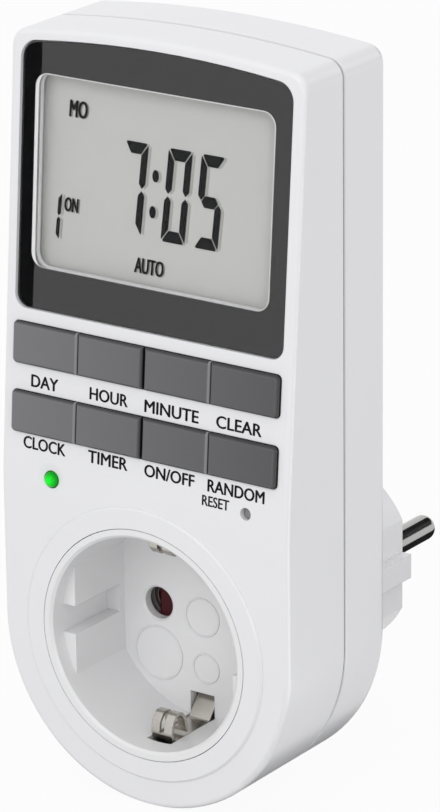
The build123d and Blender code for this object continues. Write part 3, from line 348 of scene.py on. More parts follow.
@dataclass(frozen=True)
class Foam(Finish):
    """Open foam: round cells that show as pits."""

    cell: float = 0.45

    def lines(self, tree: Tree, place: Socket) -> Socket:
        """Depth of the cells."""
        return add(tree, "ShaderNodeTexVoronoi", {"Vector": place, "Scale": per_mm(self.cell)}).outputs[0]


@dataclass(frozen=True)
class Clear(Finish):
    """Clear acrylic that lets the lamps through. Its second colour tints what they throw behind it."""

    def shade(self, tree: Tree, place: Socket) -> Socket:
        """Glossy clear body with faint wiping marks.

        Args:
            tree: the material's node tree.
            place: object coordinates.

        Returns:
            The shader's output.
        """
        body = {
            "Base Color": linear(self.colour),
            "Roughness": self.gloss(tree, self.lines(tree, place)),
            "IOR": self.ior,
            "Transmission Weight": 1.0,
        }
        solid = add(tree, "ShaderNodeBsdfPrincipled", body).outputs[0]
        through = add(tree, "ShaderNodeBsdfTransparent", {"Color": linear(self.drift)}).outputs[0]
        shadow = add(tree, "ShaderNodeLightPath").outputs["Is Shadow Ray"]
        return add(tree, "ShaderNodeMixShader", {0: shadow, 1: solid, 2: through}).outputs[0]


@dataclass(frozen=True)
class Lit(Finish):
    """Tinted epoxy of a lamp that is on, brightest along its axis.

    core is a place on that axis in metres, and reach the distance from it at which the glow ends.
    """

    light: str = "#06F224"
    glow: float = 1.2
    core: Place3 = (-0.0195, 0.0, 0.0269)
    reach: float = 1.6

    def shade(self, tree: Tree, place: Socket) -> Socket:
        """Glossy tinted body that gives light of its own.

        Args:
            tree: the material's node tree.
            place: object coordinates.

        Returns:
            The shader's output.
        """
        across = {0: place, 1: RIGHT + UP}
        flat = add(tree, "ShaderNodeVectorMath", across, operation="MULTIPLY").outputs[0]
        away = add(tree, "ShaderNodeVectorMath", {0: flat, 1: self.core}, operation="DISTANCE")
        fall = {
            "Value": away.outputs["Value"],
            "From Max": self.reach / MM,
            "To Min": self.glow,
            "To Max": 0.0,
        }
        body = {
            "Base Color": self.tint(tree, place),
            "Roughness": self.gloss(tree, self.lines(tree, place)),
            "IOR": self.ior,
            "Specular IOR Level": self.mirror,
            "Emission Color": linear(self.light),
            "Emission Strength": add(tree, "ShaderNodeMapRange", fall).outputs[0],
        }
        return add(tree, "ShaderNodeBsdfPrincipled", body).outputs[0]


@dataclass(frozen=True)
class Graded(Finish):
    """The keys' finish: it runs from its first colour at the left side to its second at the right.

    reach is half the width of a row of keys. From the height high down to low, in front of the face,
    the colour darkens to the share gap of itself: painted shade on the keys' sides and in the gaps
    between them. The first and third keys of a row have a painted highlight line at their right
    edge, as far as ridge to each side of ridge_middle. Up to ridge_full from its middle it shows
    ridge_share of the pale edge colour, and at ridge_end it is gone.
    """

    reach: float = 27.0
    low: float = 0.55
    high: float = 0.98
    gap: float = 0.12
    ridge: float = 14.0
    ridge_middle: float = -0.27
    ridge_full: float = 0.1
    ridge_end: float = 0.24
    ridge_share: float = 0.9

    def tint(self, tree: Tree, place: Socket) -> Socket:
        """Colour by the place along X, with painted shade by the height in front of the face.

        Args:
            tree: the material's node tree.
            place: object coordinates.

        Returns:
            The colour's output.
        """
        along = add(tree, "ShaderNodeSeparateXYZ", {"Vector": place}).outputs["X"]
        ends = {"Value": along, "From Min": -self.reach / MM, "From Max": self.reach / MM}
        share = add(tree, "ShaderNodeMapRange", ends).outputs[0]
        mixed = {0: share, 6: linear(self.colour), 7: linear(self.drift)}
        cap = add(tree, "ShaderNodeMix", mixed, data_type="RGBA").outputs[2]
        # Painted shade: the keys darken lower down, towards the face, on their sides and in the gaps.
        rise = add(tree, "ShaderNodeVectorMath", {0: place, 1: FACE_FOOT}, operation="SUBTRACT").outputs[0]
        height = add(tree, "ShaderNodeVectorMath", {0: rise, 1: FACE_OUT}, operation="DOT_PRODUCT")
        steps = {
            "Value": height.outputs["Value"],
            "From Min": self.low / MM,
            "From Max": self.high / MM,
            "To Min": self.gap,
        }
        lit = add(tree, "ShaderNodeMapRange", steps).outputs[0]
        shaded = add(tree, "ShaderNodeVectorMath", {0: cap, "Scale": lit}, operation="SCALE").outputs[0]
        # Painted highlight: a pale line along the right edge of the first and third keys of a row.
        ends = {0: self.painted_highlight_line(tree, along), 6: shaded, 7: linear(self.rub_and_highlight)}
        return add(tree, "ShaderNodeMix", ends, data_type="RGBA").outputs[2]

    def painted_highlight_line(self, tree: Tree, along: Socket) -> Socket:
        """Share of the painted highlight line along the right edge of the first and third keys.

        Args:
            tree: the material's node tree.
            along: the place along X.

        Returns:
            The share's output.
        """
        side = along
        for middle in (self.ridge_middle, self.ridge):
            off = add(tree, "ShaderNodeMath", {0: side, 1: middle / MM}, operation="SUBTRACT")
            side = add(tree, "ShaderNodeMath", {0: off.outputs[0]}, operation="ABSOLUTE").outputs[0]
        near = {
            "Value": side,
            "From Min": self.ridge_full / MM,
            "From Max": self.ridge_end / MM,
            "To Min": self.ridge_share,
            "To Max": 0.0,
        }
        return add(tree, "ShaderNodeMapRange", near).outputs[0]


@dataclass(frozen=True)
class Shell(Finish):
    """The covers' plastic, with painted shade along the seam between them.

    shade_half is half the width of the full shade, and shade_end where it ends.
    """

    seam: float = SEAM_MIDDLE
    shade_half: float = 0.22
    shade_end: float = 0.45
    # Colour of the painted shade in the seam.
    shaded: str = "#CBCBCD"

    def tint(self, tree: Tree, place: Socket) -> Socket:
        """Slow drift, with painted shade in the seam.

        Args:
            tree: the material's node tree.
            place: object coordinates.

        Returns:
            The colour's output.
        """
        # Painted shade: a band either side of the seam takes the shaded colour.
        depth = add(tree, "ShaderNodeSeparateXYZ", {"Vector": place}).outputs["Y"]
        away = add(tree, "ShaderNodeMath", {0: depth, 1: self.seam / MM}, operation="SUBTRACT").outputs[0]
        away = add(tree, "ShaderNodeMath", {0: away}, operation="ABSOLUTE").outputs[0]
        ends = {"Value": away, "From Min": self.shade_half / MM, "From Max": self.shade_end / MM}
        share = add(tree, "ShaderNodeMapRange", ends).outputs[0]
        mixed = {0: share, 6: linear(self.shaded), 7: super().tint(tree, place)}
        return add(tree, "ShaderNodeMix", mixed, data_type="RGBA").outputs[2]


@dataclass(frozen=True)
class FlatLayer(Finish):
    """Thin flat layer, matt, with almost no mirror of its own behind the acrylic: print, and the display's
    painted shadow and painted light.
    """

    rough: tuple[float, float] = (0.5, 0.65)
    grain: float = 0.12
    depth: float = 0.0005
    mirror: float = 0.02


# Finishes of the CAD's material slots.
FINISHES: dict[str, Finish] = {
    # White ABS from an eroded mould: an even satin white that drifts very little, with painted shade
    # in the seam and paler edges, partly painted highlight.
    "case_plastic": Shell(
        "white_abs_satin", "#E6E6E8", "#E3E3E6", rough=(0.275, 0.285), depth=0.0012, wear=0.15
    ),
    # White urea resin: the outlet's cup, as white as the case and a little duller.
    "cup_plastic": Finish("white_urea_cup", "#E5E5E6", "#E2E2E3", rough=(0.335, 0.345), depth=0.003),
    # Soft grey keys: matt and paler towards the left, with painted shade on their sides and in
    # the gaps, a painted highlight line at the right edge of the first and third keys, and paler
    # edges, partly where fingers rub them and partly painted highlight.
    "key_plastic": Graded(
        "grey_abs_keys", "#6E6E70", "#4B4B4D", rough=(0.4, 0.52), rub_and_highlight="#8E8E90", wear=0.4
    ),
    # Satin grey of the small button, lighter than the keys.
    "reset_plastic": Finish("grey_abs_button", "#8A8A8C", "#808082"),
    # Dark red slide, dull, so that it shows in the pin holes only as a deep colour.
    "shutter_plastic": Finish("red_polyamide", "#430410", "#3C040E", rough=(0.3, 0.42), mirror=0.25),
    # Moulded parts that the case hides: matt grey, pale grey, milky, black and ivory.
    "block_plastic": Finish("grey_polyamide", "#7B7B7D", "#717173", rough=(0.42, 0.55)),
    "holder_plastic": Finish("grey_abs_holder", "#B2B2B0", "#AAAAA8", rough=(0.3, 0.4)),
    "plunger_plastic": Finish("natural_acetal", "#D8DAD8", "#CDD0CE", rough=(0.28, 0.36)),
    "switch_plastic": Finish("black_nylon", "#1D1D1F", "#242426"),
    "link_plastic": Finish("ivory_polyamide", "#E2DCC8", "#D8D1BA"),
    # Parts of the boards: shiny blue and yellow boxes and a matt black chip.
    "relay_plastic": Finish("blue_polyester", "#1F4C86", "#1A4176", rough=(0.24, 0.32), grain=0.5),
    "capacitor_plastic": Finish("yellow_polyester", "#D9B020", "#CFA41A", rough=(0.26, 0.36)),
    "chip_package": Finish("black_epoxy_chip", "#161617", "#1C1C1D", rough=(0.45, 0.6), grain=0.2),
    # Nickel, zinc, tin, steel, bronze and copper: bright metal with fine drawing lines.
    "nickel_pin": Metal(
        "polished_nickel", "#B4B4B3", "#ABABAA", rough=(0.08, 0.14), stretch=(1.0, 0.1, 1.0)
    ),
    "nickel_strap": Metal(
        "nickel_strip", "#D2CEC7", "#A29E96", rough=(0.14, 0.28), stretch=(0.15, 1.0, 1.0)
    ),
    "zinc_steel": Metal("zinc_plated_steel", "#B9BEC4", "#A9AEB6", rough=(0.22, 0.38)),
    "tinned_lead": Metal("tinned_copper", "#C4C5C2", "#B4B5B2", rough=(0.25, 0.4)),
    "crystal_can": Metal("drawn_steel_can", "#C9CBCC", "#BCBEC0", rough=(0.14, 0.26)),
    "contact_brass": Metal(
        "tinned_bronze", "#9A958C", "#8B867C", rough=(0.3, 0.45), stretch=(0.2, 1.0, 1.0)
    ),
    "bar_copper": Metal("rolled_copper", "#C2744A", "#AF6238", stretch=(1.0, 1.0, 0.15)),
    # Glass fibre board: green mask over tracks 2.4 mm apart.
    "board_laminate": Laminate("green_board", "#1C5C34", "#2F7D4A", rough=(0.25, 0.35), grain=0.6),
    # Zebra strip: dark and clear rubber layers. The real ones are finer, drawn coarser to show.
    "zebra_rubber": Striped("layered_rubber", "#2A2A2B", "#C9C4B8", rough=(0.55, 0.7), pitch=0.5),
    # Grey foam: dull, with open cells.
    "foam": Foam("grey_foam", "#4A4A4C", "#3C3C3E", rough=(0.85, 0.95), depth=0.12),
    # Display glass over its pale reflector: the grey ground of a liquid crystal display.
    "display_glass": Finish(
        "display_ground",
        "#B1B1AF",
        "#ADADAB",
        rough=(0.3, 0.38),
        cloud=30.0,
        grain=0.15,
        depth=0.002,
        mirror=0.1,
    ),
    # Coated acrylic: an index lower than the bulk's, as little of the room shows in the window.
    "lens": Clear("clear_acrylic", "#FFFFFF", "#F2F2F2", rough=(0.0, 0.01), grain=6.0, ior=1.2),
    # Green epoxy of the lamp, which is on: a bright core in a darker skin.
    "lamp_epoxy": Lit(
        "green_lamp_epoxy", "#027410", "#01680C", rough=(0.1, 0.16), cloud=1.5, mirror=0.12
    ),
    # Lacquers, epoxies and shrunk sleeves of the small parts: glossy, with their bands.
    "resistor_coat": Striped(
        "lacquered_resistor", "#CDB682", "#7A4A24", rough=(0.3, 0.4), axis="Z", pitch=2.6
    ),
    "varistor_coat": Finish(
        "blue_lacquer", "#2C6C98", "#245C84", rough=(0.2, 0.34), grain=1.1, depth=0.06
    ),
    "diode_epoxy": Striped(
        "banded_epoxy", "#1A1A1B", "#B9BABA", rough=(0.35, 0.48), axis="Z", pitch=3.9
    ),
    "capacitor_sleeve": Striped(
        "shrink_sleeve", "#20305A", "#C4C8CE", rough=(0.18, 0.28), axis="X", pitch=9.0
    ),
    "battery_sleeve": Finish("green_sleeve", "#3C8A4B", "#357C43", rough=(0.18, 0.28), grain=1.4),
}

# Finishes of the pieces that are drawn here.
# Behind the lens: glossy black screen ink where it lies on the acrylic, a dull white strip of
# painted light where the window's lit side wall shows, and a dull pale line round the window.
BORDER_INK = FlatLayer(
    "black_screen_ink", "#0D0D0E", "#111112", rough=(0.01, 0.014), grain=1.5, mirror=0.67
)
PAINTED_LIT_STRIP = FlatLayer("painted_lit_wall", "#DADADA", "#D4D4D4", mirror=0.3)
PALE_RIM = FlatLayer("pale_window_line", "#E6E6E6", "#E2E2E2", mirror=0.3)
# Pad-printed words: near black, with a faint sheen.
LABEL_INK = FlatLayer("grey_pad_ink", "#29292B", "#303032", mirror=0.3)
# Dark liquid crystal, and the soft grey painted shadow beside it, drawn where the reflector
# behind would lie in its shade.
SEGMENT_INK = FlatLayer("dark_liquid_crystal", "#090A0B", "#0D0E0F")
PAINTED_SEGMENT_SHADOW = FlatLayer("painted_crystal_shadow", "#959591", "#999995")


def activate(obj: bpy.types.Object) -> None:
    """Selects one object alone and makes it active.

    Args:
        obj: the object.
    """
    bpy.ops.object.select_all(action="DESELECT")
    obj.select_set(True)
    bpy.context.view_layer.objects.active = obj


def clean_mesh(obj: bpy.types.Object, merge: float) -> None:
    """Merges doubles and turns the faces outwards.

    Args:
        obj: the mesh object.
        merge: distance under which points are merged.
    """
    activate(obj)
    bpy.ops.object.mode_set(mode="EDIT")
    bpy.ops.mesh.select_all(action="SELECT")
    bpy.ops.mesh.remove_doubles(threshold=merge)
    bpy.ops.mesh.normals_make_consistent(inside=False)
    bpy.ops.object.mode_set(mode="OBJECT")


def printed(name: str, loops: list[Loop], thickness: float) -> bpy.types.Object:
    """Thin flat shape in millimetres, for print and for painted shadow and light. A loop inside another
    one is a hole.

    Args:
        name: the object's name.
        loops: closed outlines.
        thickness: how thick the layer lies.

    Returns:
        A mesh object, still flat in the drawing.
    """
    drawing = bpy.data.curves.new(name, "CURVE")
    drawing.dimensions = "2D"
    drawing.fill_mode = "BOTH"
    drawing.extrude = thickness / 2
    for loop in loops:
        spline = drawing.splines.new("POLY")
        spline.points.add(len(loop) - 1)
        spline.points.foreach_set("co", [v for x, a in loop for v in (x, a, 0.0, 1.0)])
        spline.use_cyclic_u = True
    shape = bpy.data.objects.new(name, drawing)
    bpy.context.scene.collection.objects.link(shape)
    activate(shape)
    bpy.ops.object.convert(target="MESH")
    return bpy.context.object


def join(pieces: list[bpy.types.Object], name: str) -> bpy.types.Object:
    """Joins drawn shapes into one piece.

    Args:
        pieces: the flat mesh objects.
        name: the joined piece's name.

    Returns:
        The joined piece.
    """
    activate(pieces[0])
    for piece in pieces:
        piece.select_set(True)
    bpy.ops.object.join()
    pieces[0].name = name
    return pieces[0]


def lay(piece: bpy.types.Object, height: float, finish: Finish) -> None:
    """Lays a flat drawing on the face, dresses it and fixes it to the case.

    Args:
        piece: the flat mesh.
        height: millimetres in front of the face of the drawing's middle.
        finish: its finish.
    """
    clean_mesh(piece, merge=0.0005)
    piece.data.transform(face_matrix(height))
    piece.data.materials.clear()
    piece.data.materials.append(finish.make())
    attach(piece, "case")
    LOG.info("%s: %d faces", piece.name, len(piece.data.polygons))


def arc(middle: Place, radius: float, start: float, end: float, steps: int = 8) -> Loop:
    """Points of an arc.

    Args:
        middle: the arc's middle.
        radius: its radius.
        start: the first point's angle in degrees.
        end: the last point's angle in degrees.
        steps: how many stretches it has.

    Returns:
        The points from start to end.
    """
    spots = [math.radians(start + (end - start) * i / steps) for i in range(steps + 1)]
    return [(middle[0] + radius * math.cos(t), middle[1] + radius * math.sin(t)) for t in spots]


@dataclass(frozen=True)
class Word:
    """A printed word: its middle, its width and the height of its capitals, in millimetres.

    bold is how far its strokes are widened to each side, and lean how far they lean for each
    millimetre of height.
    """

    text: str
    middle: Place
    width: float
    cap: float
    bold: float
    lean: float = 0.0

    def draw(self, thickness: float) -> bpy.types.Object:
        """Draws the word as a flat mesh, from four prints a little apart and one between them.

        Args:
            thickness: how thick the layer lies.

        Returns:
            The mesh object.
        """
        bpy.ops.object.select_all(action="DESELECT")
        bpy.ops.object.text_add()
        word = bpy.context.object
        # It is typed at any size, and scaled to its own width and height below.
        word.data.body = self.text
        word.data.size = 10.0
        word.data.extrude = 0.5
        word.data.resolution_u = 4
        bpy.ops.object.convert(target="MESH")
        word = bpy.context.object
        word.name = "word_" + "".join(c for c in self.text if c.isalnum())
        xs = [v.co.x for v in word.data.vertices]
        ys = [v.co.y for v in word.data.vertices]
        middle = Vector(((max(xs) + min(xs)) / 2, (max(ys) + min(ys)) / 2, 0.0))
        across = (self.width - 2 * self.bold) / (max(xs) - min(xs))
        up = (self.cap - self.bold) / (max(ys) - min(ys))
        size = Matrix.Diagonal((across, up, thickness, 1.0))
        tilt = Matrix(((1.0, self.lean, 0.0), (0.0, 1.0, 0.0), (0.0, 0.0, 1.0))).to_4x4()
        spot = Matrix.Translation((*self.middle, 0.0))
        word.data.transform(spot @ tilt @ size @ Matrix.Translation(-middle))
        prints = [word]
        for step in ((-self.bold, 0.0), (self.bold, 0.0), (0.0, -self.bold / 2), (0.0, self.bold / 2)):
            again = bpy.data.objects.new(word.name, word.data.copy())
            bpy.context.scene.collection.objects.link(again)
            again.data.transform(Matrix.Translation((*step, 0.0)))
            prints.append(again)
        return join(prints, word.name)


@dataclass(frozen=True)
class DisplayBorder:
    """Black border printed on the display lens, with a white strip of painted light and a pale rim
    round its window.

    Sizes are in millimetres on the face. The border's outer edge has round lower corners and an
    arched top, from shoulder at its sides to crown in its middle. strip is the width of the white
    strip of painted light where the window's lit side wall shows, strip_back how far it lies behind
    the border, rim the width of the pale rim at the window's top and right, and rim_thin the share of
    it at the left and foot.
    """

    half: float = 28.0
    foot: float = 30.5
    shoulder: float = 76.85
    crown: float = 78.9
    upper_r: float = 3.3
    lower_r: float = 2.3
    arch_steps: int = 32
    window_half: float = 24.93
    window_middle: float = -0.42
    window_foot: float = 37.85
    window_top: float = 72.1
    window_r: float = 2.6
    height: float = -0.64
    thickness: float = 0.03
    strip: float = 0.75
    strip_back: float = 0.04
    rim: float = 0.18
    rim_thin: float = 0.3

    def outline(self) -> Loop:
        """Outer edge: round lower corners, arched top.

        Returns:
            A closed outline.
        """
        rise = self.crown - self.shoulder
        arch_r = (self.half**2 + rise**2) / (2 * rise)
        side = math.asin((self.half - self.upper_r) / arch_r)
        turns = [side - 2 * side * i / self.arch_steps for i in range(self.arch_steps + 1)]
        arch = [(arch_r * math.sin(t), self.crown - arch_r + arch_r * math.cos(t)) for t in turns]
        low = arc((self.half - self.lower_r, self.foot + self.lower_r), self.lower_r, -90, 0)
        middle = (self.half - self.upper_r, arch[0][1] - self.upper_r)
        # The corner stops just short of level, because the arch's first point closes it.
        right = low + arc(middle, self.upper_r, 0, 88)[:-1]
        left = [(-x, a) for x, a in reversed(right)]
        return right + arch + left

    def window(self, inset: float = 0.0) -> Loop:
        """Inner edge round the display, or a loop that far inside it.

        Args:
            inset: millimetres inside the edge.

        Returns:
            A closed outline.
        """
        left = self.window_middle - self.window_half + self.window_r
        right = self.window_middle + self.window_half - self.window_r
        low, top = self.window_foot + self.window_r, self.window_top - self.window_r
        r = self.window_r - inset
        corners = (((right, low), -90), ((right, top), 0), ((left, top), 90), ((left, low), 180))
        return [spot for middle, start in corners for spot in arc(middle, r, start, start + 90)]

    def edge(self) -> Loop:
        """White strip of painted light along the window's left side, where its lit side wall shows,
        tapered round its two corners.

        Returns:
            A closed outline. It stops ten degrees short of the window's top and foot.
        """
        r = self.window_r
        left = self.window_middle - self.window_half + r
        outer = arc((left, self.window_top - r), r, 100, 180)
        outer += arc((left, self.window_foot + r), r, 180, 260)
        inner = [(x + self.strip * min(1.0, (left - x) / r), a) for x, a in outer]
        return outer + inner[::-1]

    def build(self) -> None:
        """Draws the border, its edge and its rim, and lays them behind the lens."""
        border = printed("display_border", [self.outline(), self.window()], self.thickness)
        lay(border, self.height, BORDER_INK)
        # White strip of painted light where the window's lit side wall shows.
        strip = printed("painted_lit_wall_strip", [self.edge()], self.thickness)
        lay(strip, self.height - self.strip_back, PAINTED_LIT_STRIP)
        # Pale line round the window, full width at its top and right.
        shift = self.rim * (1 - self.rim_thin) / 2
        inner = [(x - shift, a - shift) for x, a in self.window(self.rim - shift)]
        rim = printed("window_rim", [self.window(), inner], self.thickness)
        lay(rim, self.height, PALE_RIM)


class Bar(Enum):
    """Segments of a seven-segment digit."""

    TOP = "top"
    MIDDLE = "middle"
    BOTTOM = "bottom"
    UPPER_LEFT = "upper_left"
    UPPER_RIGHT = "upper_right"
    LOWER_LEFT = "lower_left"
    LOWER_RIGHT = "lower_right"


ZERO = (Bar.TOP, Bar.BOTTOM, Bar.UPPER_LEFT, Bar.UPPER_RIGHT, Bar.LOWER_LEFT, Bar.LOWER_RIGHT)
FIVE = (Bar.TOP, Bar.MIDDLE, Bar.BOTTOM, Bar.UPPER_LEFT, Bar.LOWER_RIGHT)
SEVEN = (Bar.TOP, Bar.UPPER_RIGHT, Bar.LOWER_RIGHT)
ONE = (Bar.UPPER_RIGHT, Bar.LOWER_RIGHT)


@dataclass(frozen=True)
class Digit:
    """One leaning digit: foot's middle, size and stroke widths in millimetres, lean in degrees.

    stroke is the width of an upright segment and beam the height of a level one. The corners of the
    segments are cut. Each cut is a share of the stroke's width or, where it goes up a beam, of the
    beam's height. beam_in is a share of the gap.
    """

    bars: tuple[Bar, ...]
    foot: Place
    width: float = 5.0
    height: float = 16.4
    stroke: float = 1.38
    beam: float = 2.04
    gap: float = 0.18
    lean: float = 4.0
    beam_in: float = 0.4
    beam_corner: Place = (0.13, 0.15)
    beam_tip: float = 0.24
    upright_corner: Place = (0.1, 0.1)
    upright_side: float = 0.3
    upright_point: float = 0.75
    middle_start: float = 0.42
    middle_point: float = 0.7

    def level(self) -> Loop:
        """Outline of the top segment.

        Returns:
            Its corners from the inner left one to the inner right one.
        """
        stroke, top = self.stroke, self.height
        over, down = self.beam_corner
        left = [
            (stroke + self.gap * self.beam_in, top - self.beam),
            (self.gap + stroke * over, top - self.beam * down),
            (self.gap + stroke * self.beam_tip, top),
        ]
        return left + [(self.width - x, y) for x, y in left[::-1]]

    def centre(self) -> Loop:
        """Outline of the middle segment, pointed at both ends.

        Returns:
            Its corners from the left point, over the top.
        """
        middle, half = self.height / 2, self.beam / 2
        start = self.stroke * self.middle_start + self.gap
        end, point = self.width - start, half * self.middle_point
        upper = [(start + point, middle + half), (end - point, middle + half)]
        lower = [(end - point, middle - half), (start + point, middle - half)]
        return [(start, middle), *upper, (end, middle), *lower]

    def upright(self) -> Loop:
        """Outline of the upper left segment.

        Returns:
            Its corners from the outer top one.
        """
        stroke, middle = self.stroke, self.height / 2
        top = self.height - self.gap
        over, down = self.upright_corner
        head = [
            (0.0, top - stroke * self.upright_side),
            (stroke * over, top - self.beam * down),
            (stroke, top - self.beam),
        ]
        shoulder = middle + stroke * self.upright_point
        return [*head, (stroke, shoulder), (stroke / 2, middle + self.gap), (0.0, shoulder)]

    def bar(self, bar: Bar) -> Loop:
        """Outline of one segment, upright, from the digit's lower left corner.

        Args:
            bar: the segment.

        Returns:
            A closed outline.
        """
        if bar is Bar.MIDDLE:
            return self.centre()
        loop = self.level() if bar in (Bar.TOP, Bar.BOTTOM) else self.upright()
        if bar in (Bar.BOTTOM, Bar.LOWER_LEFT, Bar.LOWER_RIGHT):
            loop = [(x, self.height - y) for x, y in loop[::-1]]
        if bar in (Bar.UPPER_RIGHT, Bar.LOWER_RIGHT):
            loop = [(self.width - x, y) for x, y in loop[::-1]]
        return loop

    def loops(self) -> list[Loop]:
        """Outlines of the lit segments in the face's drawing.

        Returns:
            One closed outline for each segment.
        """
        lean = math.tan(math.radians(self.lean))
        left, low = self.foot[0] - self.width / 2, self.foot[1]
        return [[(left + x + y * lean, low + y) for x, y in self.bar(bar)] for bar in self.bars]


@dataclass(frozen=True)
class Readout:
    """What the display shows: a time, a programme number and three words.

    Sizes are in millimetres. lift is how far the segments lie in front of their painted shadow,
    shade where that painted shadow is drawn, and word_back how much less far the words' painted
    shadow is moved. dot holds half the colon's dots' width and height.
    """

    height: float = -3.78
    thickness: float = 0.02
    lift: float = 0.03
    shade: Place = (0.58, -0.05)
    word_back: float = 0.28
    digits: tuple[Digit, ...] = (
        Digit(SEVEN, (-6.74, 45.88)),
        Digit(ZERO, (2.4, 45.88)),
        Digit(FIVE, (9.22, 45.88)),
        Digit(ONE, (-23.15, 42.6), width=3.0, height=8.4, stroke=0.75, beam=0.9, gap=0.1),
    )
    colon: tuple[Place, ...] = ((-1.52, 56.93), (-1.93, 50.6))
    dot: Place = (0.69, 1.08)
    words: tuple[Word, ...] = (
        Word("MO", (-18.1, 66.1), 3.9, 3.1, 0.12, 0.05),
        Word("ON", (-19.1, 49.15), 3.0, 2.6, 0.1, 0.05),
        Word("AUTO", (-2.3, 40.9), 6.15, 2.8, 0.1, 0.05),
    )

    def round_dot(self, middle: Place, steps: int = 24) -> Loop:
        """One dot of the colon, a little taller than wide.

        Args:
            middle: the dot's middle.
            steps: how many points it has.

        Returns:
            A closed outline.
        """
        turns = [math.tau * i / steps for i in range(steps)]
        wide, tall = self.dot
        return [(middle[0] + wide * math.cos(t), middle[1] + tall * math.sin(t)) for t in turns]

    def draw(self, name: str, back: float = 0.0) -> bpy.types.Object:
        """Draws all that the display shows as one flat mesh.

        Args:
            name: the mesh object's name.
            back: how far to the left the words stand, in millimetres.

        Returns:
            The mesh object.
        """
        loops = [loop for digit in self.digits for loop in digit.loops()]
        loops += [self.round_dot(middle) for middle in self.colon]
        shapes = [printed(name, loops, self.thickness)]
        for word in self.words:
            x, a = word.middle
            shapes.append(replace(word, middle=(x - back, a)).draw(self.thickness))
        return join(shapes, name)

    def build(self) -> None:
        """Lays the segments on the glass, with a soft painted shadow under them."""
        lay(self.draw("display_segments"), self.height + self.lift, SEGMENT_INK)
        # Painted shadow: the same shapes in grey, moved by shade, behind the segments.
        shadow = self.draw("painted_display_shadow", self.word_back)
        shadow.data.transform(Matrix.Translation((*self.shade, 0.0)))
        lay(shadow, self.height, PAINTED_SEGMENT_SHADOW)


@dataclass(frozen=True)
class KeyLabels:
    """Generic words printed under the keys and over the reset hole.

    cap is the height of the keys' capitals, and each of their words has its middle and its width,
    all in millimetres.
    """

    cap: float = 2.25
    bold: float = 0.085
    height: float = 0.016
    thickness: float = 0.03
    words: tuple[tuple[str, float, float, float], ...] = (
        ("DAY", -21.3, 17.6, 5.9),
        ("HOUR", -7.5, 17.6, 8.2),
        ("MINUTE", 5.8, 17.5, 11.4),
        ("CLEAR", 19.8, 17.55, 9.4),
        ("CLOCK", -21.0, 6.3, 9.2),
        ("TIMER", -7.3, 6.3, 8.5),
        ("ON/OFF", 5.8, 6.1, 10.6),
        ("RANDOM", 19.7, 6.0, 11.8),
    )
    reset: Word = Word("RESET", (15.6, 3.2), 5.65, 1.9, 0.06)

    def build(self) -> None:
        """Prints the words on the case."""
        labels = [Word(text, (x, a), width, self.cap, self.bold) for text, x, a, width in self.words]
        drawn = [word.draw(self.thickness) for word in (*labels, self.reset)]
        lay(join(drawn, "key_labels"), self.height, LABEL_INK)


def dress_nodes() -> None:
    """Gives every CAD node the finish of its material slot."""
    made = {slot: finish.make() for slot, finish in FINISHES.items()}
    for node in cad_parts.values():
        for place in node.material_slots:
            place.material = made[place.material.name.split(".")[0]]
    LOG.info("%d finishes on %d CAD nodes", len(made), len(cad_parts))


def seen(tree: Tree) -> Socket:
    """Tells what is seen, straight, mirrored or through clear parts, from what gives light.

    Args:
        tree: the node tree of the floor or the world.

    Returns:
        A socket that is 1 for what is seen and 0 for light.
    """
    ray = add(tree, "ShaderNodeLightPath").outputs
    straight = {0: ray["Is Camera Ray"], 1: ray["Is Glossy Ray"]}
    mirrored = add(tree, "ShaderNodeMath", straight, operation="MAXIMUM").outputs[0]
    through = {0: mirrored, 1: ray["Is Transmission Ray"]}
    return add(tree, "ShaderNodeMath", through, operation="MAXIMUM").outputs[0]


@dataclass(frozen=True)
class Card:
    """Studio card that only glossy surfaces mirror: black, or bright where it has a shine.

    edge is the middle of its near edge, across the way from there over the card, and up the way
    that the edge runs. Its width across and its height along the edge are in metres.
    """

    name: str
    edge: Place3
    across: Vector
    up: Vector
    width: float
    height: float
    shine: float = 0.0
    black: str = "#303030"

    def build(self) -> None:
        """Sets the card up."""
        bpy.ops.object.select_all(action="DESELECT")
        bpy.ops.mesh.primitive_plane_add(size=1.0)
        card = bpy.context.object
        card.name = self.name
        turn = Matrix((self.across, self.up, self.across.cross(self.up))).transposed().to_4x4()
        size = Matrix.Diagonal((self.width, self.height, 1.0, 1.0))
        middle = Vector(self.edge) + self.across * self.width / 2
        card.data.transform(Matrix.Translation(middle) @ turn @ size)
        material = blank_material("card_" + self.name)
        tree = material.node_tree
        if self.shine:
            face = add(tree, "ShaderNodeEmission", {"Color": WHITE, "Strength": self.shine})
        else:
            face = add(tree, "ShaderNodeBsdfDiffuse", {"Color": linear(self.black)})
        add(tree, "ShaderNodeOutputMaterial", {"Surface": face.outputs[0]})
        material.cycles.emission_sampling = "NONE"
        card.data.materials.append(material)
        card.visible_camera = False
        card.visible_diffuse = False
        card.visible_shadow = False


@dataclass(frozen=True)
class Lamp:
    """Square soft lamp that faces the timer: its place and side in metres, and its watts."""

    name: str
    place: Place3
    size: float
    power: float
    aim: Place3 = (0.0, -0.04, 0.04)

    def build(self) -> None:
        """Hangs the lamp up."""
        light = bpy.data.lights.new(self.name, "AREA")
        light.size = self.size
        light.energy = self.power
        lamp = bpy.data.objects.new(self.name, light)
        bpy.context.scene.collection.objects.link(lamp)
        turn = (Vector(self.aim) - Vector(self.place)).to_track_quat("-Z", "Y")
        lamp.matrix_world = Matrix.Translation(self.place) @ turn.to_matrix().to_4x4()


